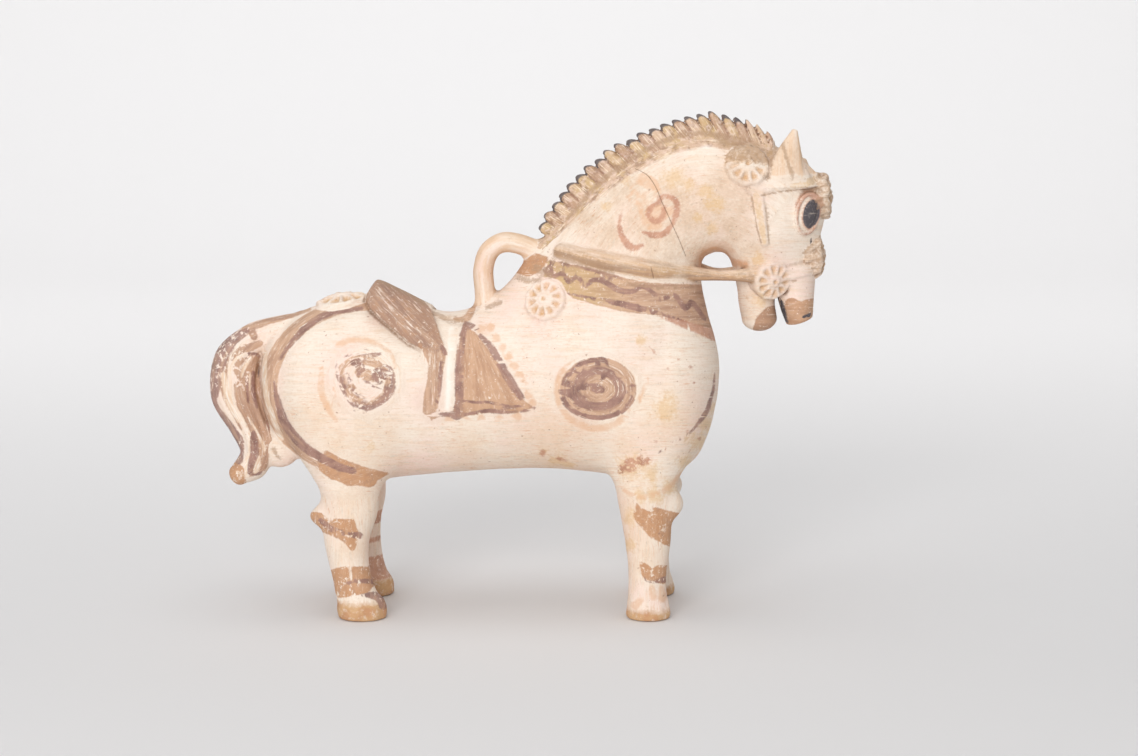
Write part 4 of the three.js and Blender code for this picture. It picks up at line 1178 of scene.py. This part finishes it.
# legs
lay("ochre", *[gaps[name] for name in legBands])
lay("purple", np.where(skinY < 0, np.minimum.reduce(strokes("legDark")), far))
farHind = (skinY > 0) & (skinX < -60)
farShank = farHind & (skinZ < 34)
layers["ochre"][farShank] = far
bandLow, bandHigh = paint["farHindBand"]
lay("red", np.where(farShank, np.maximum(skinZ - bandHigh, bandLow - skinZ), far))
for z, half in paint["farHindMarks"]:
    lay("red", np.where(farHind & (skinX > -91), np.abs(skinZ - z) - half, far))
lay("pink", *strokes("foreTan", (1.8, 2.4)))
for name in ("ochre", "purple"):
    lift(name, *strokes("legPale", (0.7, 0.8)))
lay("red", *spots("rubbed"))
# muzzle, bridle and the edge of the seat
lay("ochre", gaps["lipPatch"], gaps["jawPatch"], stroke(*paint["seatEdge"]))
lay("black", *strokes("nostril", (0.9, 1.1)), *strokes("noseSlit", (0.5, 0.7)))
# paint of the flank stays off the parts pressed on
aside = np.minimum.reduce([rosetteGap, reinGap, handleGap, maneGap, tailGap])
for name in layers:
    layers[name] = np.maximum(layers[name], 0.9 - aside)
# tail and mane
tailPaint = {
    "ochre": [patch(rows) for rows in paint["tailBrown"]] + strokes("tailStrokes"),
    "purple": strokes("tailDark"),
    "pale": strokes("tailPale"),
    "black": strokes("tailCrack", (0.3, 0.5, 0.4)),
}
for name, shapes in tailPaint.items():
    drawn = np.minimum(layers[name], np.minimum.reduce(shapes))
    layers[name] = np.where(onTail | (sideX < -120) & (sideZ > 160), drawn, layers[name])
# the last pale stroke, the painted highlight between tail and haunch, also reaches past the tail
lay("pale", stroke(*paint["tailPale"][-1]))
locks = (maneAlong * mane["locks"]) % 1.0
maneTop = np.clip(maneAcross, -1, 1)
maneFoot = np.interp(sideX, *np.transpose(mane["foot"]))
maneReach = np.where((sideX > 8) & (sideX < 147) & (maneGap < 9), maneFoot - 4.5 - sideZ, far)
maneReach = np.where(np.minimum(rosetteGap, handleGap) < 1, far, maneReach)
# eyes
pupilA, pupilB, pupilLong, pupilTall = eye["pupil"]
pupil = np.hypot((eyeA - pupilA) / pupilLong, (eyeB - pupilB) / pupilTall) - 1
lay("black", pupil * 6)
almond = np.hypot(eyeA / eye["outline"][0], eyeB / eye["outline"][1])
rim = np.abs(almond - 1) * 9.5 - 0.8 - 0.8 * np.clip(eyeB / 10, -0.3, 1)
lay("red", np.minimum(rim, np.abs(pupil) * 7 - 0.7))
# the slit of the mouth is dark on the lip's side
slit = paint["mouthSlit"]
inMouth = (skinX > 140) & (skinX < 158) & (skinZ < 183) & (skinZ > 164)
intoSlit = np.where(inMouth, lookOut[:, 0] * np.sign(slit - skinX), 0)
lay("black", np.where(skinX > slit, (0.84 - intoSlit) * 8, (0.985 - intoSlit) * 9))

# Brush space: along and across the strokes of each motif.
run, across = sideX.copy(), sideZ.copy()


def brushed(where, newRun, newAcross):
    run[where], across[where] = newRun[where], newAcross[where]


brushed(skinZ < 74, sideZ, sideX)  # legs are scraped upright
neckGap, neckAlong, neckAcross = loftField(skin, neckForm)
onNeck = (neckGap < 3) & (neckAlong > 0.12) & (neckAlong < 0.72) & (sideZ > 205)
brushed(onNeck, neckAlong * 260, neckAcross * 38)
brushed(onRein, reinAlong * 118, reinAcross * 5)
brushed((skinX > 138) & (skinZ > 252), sideZ, sideX)  # ears
brushed(gaps["flap"] < 1.5, (sideX - sideZ) / 1.4, (sideX + sideZ) / 1.4)
brushed((gaps["flap"] < 1.5) & (sideZ < 152), sideZ, sideX)
fromTip = np.arctan2(sideX + 31, 172 - sideZ)
brushed(gaps["triangle"] < 1.5, np.hypot(sideX + 31, sideZ - 172), fromTip * 26)
for name, reach in (("haunchEye", 1.3), ("shoulderEye", 1.12)):
    e, turn, size = roundPlace(paint[name])
    brushed(e < reach, np.abs(turn) * 13, e * size)
e, turn, size = roundPlace(paint["haunchArc"])
brushed(arc < 1.5, (turn % (2 * math.pi)) * size, e * size)
brushed(gaps["haunchPatch"] < 1.0, sideZ * 0.6 + sideX, sideZ - sideX * 0.3)
brushed(onTail, tailAlong * 118, tailAcross * 12)
brushed(onHandle, handleAlong * 92, handleAcross * 6)
brushed(onMane, maneAcross * 9, maneAlong * 190)

# Tints, wear and painted shade on the vertices, mostly from 0 to 1.
pits = np.zeros(len(skin))
for spot, gap in zip(rosetteSpots, rosetteGaps):
    on, rough = gap < 0.8, spot.get("rough", 0)
    if on.any():
        pits[on] = 0.26 + 0.74 * rosetteRelief(skin[on], spot)[4] + 0.04 * (rough > 0.5) + 0.3 * (rough > 1)
# soiling, with painted shadow under the lower edges of the rein, seat and straps
soilAndShadow = np.zeros(len(skin))
for rows, reach in paint["soilAndShadow"]:
    near = nearRows(rows, 3 * reach)
    d = lineDistance(sideX[near], sideZ[near], evenly(rows, np.linspace(0, 1, 12)))[0]
    soilAndShadow[near] = np.maximum(soilAndShadow[near], np.exp(-(d / reach) ** 2))
# on the rosettes: part of the soiling and painted shadow, darker on the brow and nose rosettes and on the
# poll rosette's upper half
rosetteSoilAndShadow = soilAndShadow * 0.6 + 0.66 * (skinX > 160) + 0.6 * np.clip((sideZ - 257) / 5, 0, 1)
soilAndShadow = np.where(onRosette, rosetteSoilAndShadow, soilAndShadow)
handleSide = np.where(onHandle, np.abs(handleAcross) * 0.6 + 0.42, 0)
handleSide[(skinX > 138) & (skinZ > 254) & ~onMane & ~onRosette] = 0.7  # ears are streaked too
# paint on the rein, heavier on faces turned down: partly painted shade on its underside
reinPaintAndShade = np.clip(1 - reinGap / 1.2, 0, 1) * np.where(onRein, 0.65 - 0.35 * lookOut[:, 2], 0)
lockAt = np.clip((maneAlong * mane["locks"]).astype(int), 0, mane["locks"] - 1)
capStart = 0.82 + 0.12 * lockChance[lockAt] + 0.3 * (maneAlong > 0.88)
maneCap = np.where(onMane, (capStart - maneTop) * 14 + 2 * (locks - 0.4), far)
print("Horse: reading hollows")
# painted shade: darker where the clay closes in around a vertex
hollowShade = np.clip(1 - inChunks(figureField, skin + lookOut * 2.4) / 2.4, 0, 1)
tanned = np.minimum.reduce(strokes("bridleTan"))
stain = np.maximum(tints("stains"), 0.75 * np.clip(0.5 - tanned / 1.6, 0, 1))
warm = tints("warm")
# orange-brown along the throat and on the faces turned down under the head
throatOrange = 0.8 * fading(stroke(paint["throat"], (0.3, 0.7, 0.5, 0.9, 1.6, 1.2)), 1.1)
throatOrange = np.maximum(throatOrange, 0.45 * (np.hypot(sideX - 114, sideZ - 202) < 13) * np.clip(-lookOut[:, 2], 0, 1))
hoof = np.clip((np.where(skinX < 0, 13.5, 8.5) - skinZ) / 5, 0, 1)
onFlap, onTriangle, onCollar = gaps["flap"] < 0.5, gaps["triangle"] < 0.5, gaps["collar"] < 0
worn = 0.1 + np.maximum(haunchWear, 0.45 * shoulderWear)
worn = worn + 0.2 * onFlap + 0.04 * onTriangle + 0.12 * (np.abs(arc) < 9)
for gap in strokes("flapWorn", (0.5, 0.5)):
    worn = np.maximum(worn, 0.66 * fading(gap, 2.4))
worn = np.maximum(worn, 0.4 * (np.minimum.reduce(strokes("breastLine")) < 2))
onLegs = skinZ < 70
flaked = 0.1 + 0.3 * onLegs + 0.42 * onHaunchEye + 0.12 * onFlap * (sideZ > 152)
flaked = flaked + 0.46 * onTail * (sideZ > 128) * (sideX < -157) + 0.3 * onTail * (sideZ < 100)
flaked = flaked + 0.55 * (np.hypot(sideX - 65, sideZ - 85) < 15)  # the rub above the foreleg
flaked = flaked + 0.12 * (sideX > 130) * (sideZ < 183) + 0.2 * (sideX < 50) * onCollar
orange = onLegs + 1.0 * (gaps["haunchPatch"] < 0) + 0.55 * (sideX > 130) * (sideZ < 184) + 0.35 * onTriangle
orange = np.maximum(np.clip(orange, 0, 1), ((sideX < -158) & (sideZ < 86)) | (gaps["handleRoot"] < 0))
mauve = np.clip(0.75 * onFlap * (sideZ > 150) + 0.25 * onFlap + 0.6 * onTail * (orange < 0.5), 0, 1)
mauve += 0.5 * onCollar * np.clip((sideX - 60) / 40, 0, 1)
yellow = onCollar * np.clip((66 - sideX) / 34, 0, 1)
rimShade = np.maximum.reduce([fading(gap, 1.6) for gap in strokes("flapRim", (0.8, 1.0))])
rimShade = np.maximum(rimShade, 1.3 * (gaps["jawPatch"] < 1))
crack = crackSide(paint["neckCrack"])
crack = np.where(np.abs(crack) < 30, crack, crackSide(paint["reinCrack"]))
kept = {
    **layers, "hollowShade": hollowShade, "stain": stain, "warm": warm, "throatOrange": throatOrange, "hoof": hoof, "worn": worn,
    "greyed": warm * np.clip((sideZ - 185) / 14, 0.12, 1), "flaked": flaked, "orange": orange, "mauve": mauve,
    "yellow": yellow, "rimShade": rimShade, "crack": crack, "run": run, "across": across, "pits": pits,
    "soilAndShadow": soilAndShadow, "handleSide": handleSide, "reinPaintAndShade": reinPaintAndShade, "mane": maneReach, "maneCap": maneCap,
    # painted shade in the creases between the mane's locks
    "lockCreaseShade": np.where(onMane, np.abs(locks - 0.45) * 2, 0),
    "lockTint": np.where(onMane, (lockAt * 0.618 + 0.3 * lockChance[lockAt]) % 1, 0.5),
}
for name, values in kept.items():
    column = mesh.attributes.new(name, "FLOAT", "POINT").data
    column.foreach_set("value", np.clip(values, -999, 999).astype(np.float32))


# A shader socket that adds and multiplies like a number.
class Wire:
    tree = None

    def __init__(self, socket):
        self.socket = socket

    @classmethod
    def node(cls, kind, settings=None, inputs=None, output=0):
        made = cls.tree.nodes.new(kind)
        for name, value in (settings or {}).items():
            setattr(made, name, value)
        for name, value in (inputs or {}).items():
            if isinstance(value, Wire):
                cls.tree.links.new(value.socket, made.inputs[name])
            else:
                made.inputs[name].default_value = value
        return cls(made.outputs[output])

    def sum(self, operation, *others):
        inputs = {k: value for k, value in enumerate((self, *others))}
        return Wire.node("ShaderNodeMath", {"operation": operation}, inputs)

    def __add__(self, other):
        return self.sum("ADD", other)

    def __radd__(self, other):
        return self.sum("ADD", other)

    def __sub__(self, other):
        return self.sum("SUBTRACT", other)

    def __rsub__(self, other):
        return (self * -1) + other

    def __mul__(self, other):
        return self.sum("MULTIPLY", other)

    def __rmul__(self, other):
        return self.sum("MULTIPLY", other)

    def __truediv__(self, other):
        return self.sum("DIVIDE", other)

    def clamp(self):
        return Wire.node("ShaderNodeClamp", None, {0: self})


def fromScreen(*rgb):  # screen colour as light
    return tuple(((c / 255 + 0.055) / 1.055) ** 2.4 if c > 10 else c / 255 / 12.92 for c in rgb) + (1.0,)


clayLook = {
    "slip": (240, 226, 211), "slipWarm": (232, 204, 176), "slipPink": (240, 215, 202),
    "white": (250, 243, 233),
    "scuff": (224, 180, 148), "ochre": (204, 165, 136), "ochreDark": (168, 128, 104),
    "ochreGreen": (200, 168, 116),
    "ochreOrange": (194, 142, 100), "ochreMauve": (156, 120, 104), "pink": (224, 180, 144),
    "red": (200, 148, 122),
    "redDark": (176, 122, 98), "purple": (162, 124, 112), "purpleDark": (126, 92, 86), "black": (84, 78, 82),
    "blackPale": (130, 122, 120), "clay": (224, 184, 144), "clayOrange": (206, 152, 112),
    # brown of the cracks, also used for the painted shade in hollows
    "dirtAndShade": (142, 106, 80),
    # greyish brown of soiling, also used for painted shadow under raised edges
    "stain": (226, 190, 142), "soilAndShadow": (172, 140, 112), "mane": (210, 178, 152), "maneDark": (150, 116, 94),
    # pale of the painted highlights on the mane
    "maneHighlight": (244, 224, 198), "tan": (206, 164, 118),
    "roughness": 0.8, "bump": 0.3, "bumpStrength": 0.8,
}


def mixTone(factor, below, above):
    below = below if isinstance(below, Wire) else fromScreen(*clayLook[below])
    above = above if isinstance(above, Wire) else fromScreen(*clayLook[above])
    return Wire.node("ShaderNodeMix", {"data_type": "RGBA"}, {0: factor, 6: below, 7: above}, 2)


def grain(place, size, detail=2.0, roughness=0.5):  # size of the pattern in millimetres
    inputs = {"Vector": place, "Scale": 1 / size, "Detail": detail, "Roughness": roughness}
    return Wire.node("ShaderNodeTexNoise", None, inputs)


def above(pattern, level, gain):  # 0 below the level, soon 1 over it
    return ((pattern - level) * gain).clamp()


def swing(pattern, gain):
    return (pattern - 0.5) * gain


def onVertex(name):
    return Wire.node("ShaderNodeAttribute", {"attribute_name": name}, None, "Fac")


def stretched(place, amounts):
    return Wire.node("ShaderNodeVectorMath", {"operation": "MULTIPLY"}, {0: place, 1: amounts})


def paintedClay():
    made = bpy.data.materials.new("paintedClay")
    made.use_nodes = True
    Wire.tree = made.node_tree
    shader = made.node_tree.nodes["Principled BSDF"]
    place = stretched(Wire.node("ShaderNodeTexCoord", None, None, "Object"), (1 / mm, 1 / mm, 1 / mm))
    brushPlace = Wire.node("ShaderNodeCombineXYZ", None, {0: onVertex("run") * 0.13, 1: onVertex("across")})
    broad, middle, fine = grain(place, 34, 2), grain(place, 7, 3), grain(place, 1.7, 3, 0.6)
    brush, hair = grain(brushPlace, 0.9, 3, 0.6), grain(brushPlace, 2.6, 2)
    ragged = swing(middle, 0.7) + swing(fine, 1.0) + swing(brush, 0.8)

    def cover(name, rough=1.0, soft=0.5, lost=0.0):
        return ((ragged * rough - onVertex(name)) / soft + 0.5).clamp() * (1 - lost)

    # slip: cream, warmer and pinker in places, thin along the brush
    tone = mixTone(above(broad, 0.42, 4), "slip", "slipPink")
    tone = mixTone((onVertex("warm") * (0.2 + broad + (middle - 0.5))).clamp() * 0.85, tone, "slipWarm")
    tone = mixTone(above(hair, 0.48, 5) * 0.55, tone, "slipWarm")
    tone = mixTone(above(brush, 0.52, 6) * 0.65, tone, "white")
    # scuffs where the brush left the clay bare
    patchy = above(grain(place, 15, 2), 0.48, 6)
    scuffed = above(grain(brushPlace, 0.8, 4, 0.7), 0.54, 9) * (0.25 + patchy * 0.8 + onVertex("warm") * 0.5)
    tone = mixTone((scuffed * 0.7).clamp(), tone, "scuff")
    tone = mixTone((onVertex("greyed") * (fine + middle - 0.5)).clamp() * 0.5, tone, "soilAndShadow")
    stainHere = ((onVertex("stain") * 1.25 + swing(fine, 1.5) + swing(middle, 1.4) - 0.5) * 1.7).clamp()
    tone = mixTone(stainHere * 0.6, tone, "stain")
    tone = mixTone((onVertex("throatOrange") * (0.55 + middle * 0.8)).clamp(), tone, "clayOrange")
    hoofTone = mixTone(above(middle, 0.42, 6), "tan", "ochreOrange")
    hoofTone = mixTone(above(grain(place, 3.4, 4, 0.65), 0.54, 7) * 0.6, hoofTone, "slip")
    hoofHere = (onVertex("hoof") * 1.6 + swing(fine, 1.2) - 0.35 + swing(middle, 1.4)).clamp()
    tone = mixTone(hoofHere * 0.95, tone, hoofTone)
    reinTone = mixTone(above(hair, 0.44, 5), "tan", "soilAndShadow")
    reinHere = (onVertex("reinPaintAndShade") * 1.3 + swing(brush, 1.6) + swing(fine, 0.6) + 0.05).clamp()
    tone = mixTone(reinHere * 0.85, tone, reinTone)
    # painted shade on the rein's underside, in dark ochre
    reinUnderShade = ((onVertex("reinPaintAndShade") - 0.58) * 2.4 + swing(middle, 2.4) + swing(brush, 1.2)).clamp()
    tone = mixTone(reinUnderShade * 0.6, tone, "ochreDark")
    inPits = (onVertex("pits") * 1.3 + swing(fine, 1.1) + swing(middle, 0.8) - 0.5).clamp()
    tone = mixTone(inPits * 0.9, tone, "tan")
    tone = mixTone(((onVertex("handleSide") - 0.36) * 1.4 + swing(hair, 1.8)).clamp() * 0.75, tone, "clay")
    # paint lost in flakes and along the brush
    flakes = ((grain(place, 2.4, 4, 0.6) - 0.67 + onVertex("flaked") * 0.25) * 11).clamp()
    rubs = ((grain(brushPlace, 1.4, 3, 0.6) - 0.66 + onVertex("worn") * 0.26) * 9).clamp()
    chipped = flakes.sum("MAXIMUM", rubs)
    scraped = above(brush, 0.58, 7) * 0.7
    # the layers of paint
    tone = mixTone(cover("white", 2.2, 1.8) * 0.75, tone, "white")
    pinkHere = cover("pink", 1.2, 1.3) * (0.3 + middle * 0.9).clamp() * (1 - scraped * 0.7)
    tone = mixTone(pinkHere * 0.85, tone, "pink")
    ochreTone = mixTone(above(hair, 0.44, 5) * 0.7, "ochre", "ochreDark")
    ochreTone = mixTone(above(brush, 0.52, 6) * 0.35, ochreTone, "slipWarm")
    ochreTone = mixTone((onVertex("orange") * (0.35 + middle)).clamp() * 0.9, ochreTone, "ochreOrange")
    ochreTone = mixTone((onVertex("yellow") * (0.2 + middle * 1.2)).clamp() * 0.8, ochreTone, "ochreGreen")
    ochreTone = mixTone((onVertex("mauve") * (hair * 1.6 - 0.1)).clamp() * 0.8, ochreTone, "ochreMauve")
    mottled = above(grain(place, 4.2, 3, 0.6), 0.52, 7)
    ochreTone = mixTone(mottled * onVertex("mauve") * 0.45, ochreTone, "ochreOrange")
    mottled = above(grain(place, 3.6, 4, 0.65), 0.53, 8)
    ochreTone = mixTone(mottled * onVertex("orange") * 0.5, ochreTone, "ochreDark")
    ochreTone = mixTone((onVertex("rimShade") * (0.2 + hair)).clamp() * 0.7, ochreTone, "ochreDark")
    tone = mixTone(cover("ochre", 1.0, 0.7, chipped) * (1 - scraped * 0.5) * 0.95, tone, ochreTone)
    # painted shade in the creases between the locks
    lockCreaseShade = ((onVertex("lockCreaseShade") - 0.62) * 3.4 + swing(brush, 1.4)).clamp()
    maneTone = mixTone(lockCreaseShade, "mane", "maneDark")
    maneTone = mixTone(above(middle, 0.5, 6) * 0.6, maneTone, "ochreGreen")
    maneTone = mixTone(above(onVertex("lockTint"), 0.6, 5) * 0.55, maneTone, "ochreDark")
    maneTone = mixTone(((0.36 - onVertex("lockTint")) * 5).clamp() * 0.6, maneTone, "ochreGreen")
    maneTone = mixTone(above(grain(place, 5, 3, 0.6), 0.5, 8) * 0.65, maneTone, "maneDark")
    maneTone = mixTone(above(grain(place, 3.2, 3, 0.6), 0.5, 6) * 0.5, maneTone, "slipPink")
    # pale streaks along the locks, painted highlights
    maneTone = mixTone(above(brush, 0.53, 8) * 0.85, maneTone, "maneHighlight")
    tone = mixTone(cover("mane", 1.6, 1.8), tone, maneTone)
    redTone = mixTone(above(middle, 0.45, 4), "red", "redDark")
    tone = mixTone(cover("red", 1.6, 1.1, chipped) * (1 - scraped * 0.65) * 0.85, tone, redTone)
    purpleTone = mixTone(above(middle, 0.42, 4), "purple", "purpleDark")
    purpleTone = mixTone(above(hair, 0.5, 5) * 0.5, purpleTone, "ochre")
    tone = mixTone(cover("purple", 0.9, 0.7, chipped) * (1 - scraped * 0.4) * 0.9, tone, purpleTone)
    paleTone = mixTone(above(brush, 0.45, 4), "slipWarm", "white")
    tone = mixTone(cover("pale", 0.8, 0.7) * 0.85, tone, paleTone)
    blackTone = mixTone(above(fine, 0.52, 6) * 0.7, "black", "blackPale")
    tone = mixTone(cover("maneCap", 1.6, 0.8) * 0.92, tone, blackTone)
    tone = mixTone(cover("black", 0.6, 0.5, chipped * 0.4), tone, blackTone)
    # soiling with painted shadow under raised edges, painted shade in the hollows, cracks and pin holes
    # soiling, and painted shadow under the lower edges of raised parts
    soilAndShadowHere = onVertex("soilAndShadow") * 1.2 + swing(fine, 1.4) + (middle - 0.5) + (brush - 0.5) - 0.35
    tone = mixTone((soilAndShadowHere * 1.6).clamp() * 0.65, tone, "soilAndShadow")
    # painted shade in hollows and creases
    deep = ((onVertex("hollowShade") - 0.34) * 2.3 + swing(fine, 0.7)).clamp()
    tone = mixTone(deep * 0.75, tone, "dirtAndShade")
    thin = ((0.2 + swing(fine, 0.6) - onVertex("crack").sum("ABSOLUTE")) / 0.3 + 0.5).clamp()
    tone = mixTone(thin * 0.65, tone, "dirtAndShade")
    pins = above(grain(place, 1.9, 1, 0.4), 0.74, 14)
    tone = mixTone(pins * 0.6, tone, "ochreDark")
    tone = mixTone(above(grain(place, 1.0, 2, 0.6), 0.62, 9) * patchy * 0.35, tone, "scuff")
    tone = mixTone(above(grain(place, 1.3, 2, 0.6), 0.62, 9) * 0.3, tone, "white")
    made.node_tree.links.new(tone.socket, shader.inputs["Base Color"])
    made.node_tree.links.new((clayLook["roughness"] + swing(fine, 0.2)).socket, shader.inputs["Roughness"])
    height = swing(brush, 0.5) + swing(fine, 0.6) + swing(middle, 0.5) - pins * 0.6 - thin * 1.2
    relief = {"Strength": clayLook["bumpStrength"], "Distance": clayLook["bump"] * mm, "Height": height}
    bump = Wire.node("ShaderNodeBump", None, relief)
    made.node_tree.links.new(bump.socket, shader.inputs["Normal"])
    return made


print("Horse: mixing the painted clay")
clay = paintedClay()
mesh.materials.clear()
mesh.materials.append(clay)
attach(horse, "root")
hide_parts("horse_figure")

# Studio: a pale sweep, a broad soft light from above the camera, and an even room.
studio = {
    "floorSize": 18.0,
    "wallStart": 1.6,
    "wallBend": 1.2,
    "wallTop": 3.5,
    "floorColour": (0.755, 0.747, 0.749),
    "floorRoughness": 0.9,
    "roomLight": 0.46,
    "lights": [  # name, power, size, place, aim
        ("key", 47.0, (1.4, 1.4), (-0.6, -2.6, 1.0), (0.0, 0.0, 0.12)),
        ("overhead", 12.5, (1.8, 1.8), (-0.1, -0.2, 2.2), (0.0, 0.0, 0.1)),
        ("backdrop", 31.0, (4.5, 0.6), (0.0, 0.9, 1.6), (0.0, 2.5, 0.55)),
    ],
}


def sweep():
    size, start, bend = studio["floorSize"], studio["wallStart"], studio["wallBend"]
    profile = [(-size, 0.0), (start, 0.0)]
    for a in np.linspace(0.1, math.pi / 2, 16):
        profile.append((start + bend * math.sin(a), bend * (1 - math.cos(a))))
    profile.append((start + bend, studio["wallTop"]))
    points, faces = [], []
    for y, z in profile:
        points += [(-size, y, z), (size, y, z)]
    for i in range(len(profile) - 1):
        faces.append((2 * i, 2 * i + 1, 2 * i + 3, 2 * i + 2))
    made = bpy.data.meshes.new("sweep")
    made.from_pydata(points, [], faces)
    made.polygons.foreach_set("use_smooth", np.ones(len(faces), bool))
    ob = bpy.data.objects.new("sweep", made)
    bpy.context.scene.collection.objects.link(ob)
    paper = bpy.data.materials.new("paper")
    paper.use_nodes = True
    shader = paper.node_tree.nodes["Principled BSDF"]
    shader.inputs["Base Color"].default_value = (*studio["floorColour"], 1)
    shader.inputs["Roughness"].default_value = studio["floorRoughness"]
    made.materials.append(paper)
    return ob


print("Studio: sweep, lights and camera")
sweep()
world = bpy.data.worlds.new("room")
bpy.context.scene.world = world
world.use_nodes = True
world.node_tree.nodes["Background"].inputs["Color"].default_value = (1, 1, 1, 1)
world.node_tree.nodes["Background"].inputs["Strength"].default_value = studio["roomLight"]
for name, power, size, place, aim in studio["lights"]:
    data = bpy.data.lights.new(name, "AREA")
    data.shape = "RECTANGLE"
    data.size, data.size_y = size
    data.energy = power
    light = bpy.data.objects.new(name, data)
    light.location = place
    light.visible_camera = False
    light.rotation_euler = (Vector(aim) - light.location).to_track_quat("-Z", "Y").to_euler()
    bpy.context.scene.collection.objects.link(light)

target = Vector(photoView["target"]) * mm
back = Vector((0, -math.cos(photoView["elevation"]), math.sin(photoView["elevation"])))
cameraData = bpy.data.cameras.new("photoCamera")
cameraData.sensor_width = photoView["sensor"]
cameraData.lens = photoView["sensor"] * photoView["distance"] / photoView["frameWidth"]
camera = bpy.data.objects.new("photoCamera", cameraData)
camera.location = target + back * photoView["distance"] * mm
camera.rotation_euler = (-back).to_track_quat("-Z", "Y").to_euler()
bpy.context.scene.collection.objects.link(camera)
bpy.context.scene.camera = camera
bpy.context.scene.view_settings.view_transform = "Standard"
bpy.context.scene.view_settings.look = "None"

bpy.context.view_layer.update()
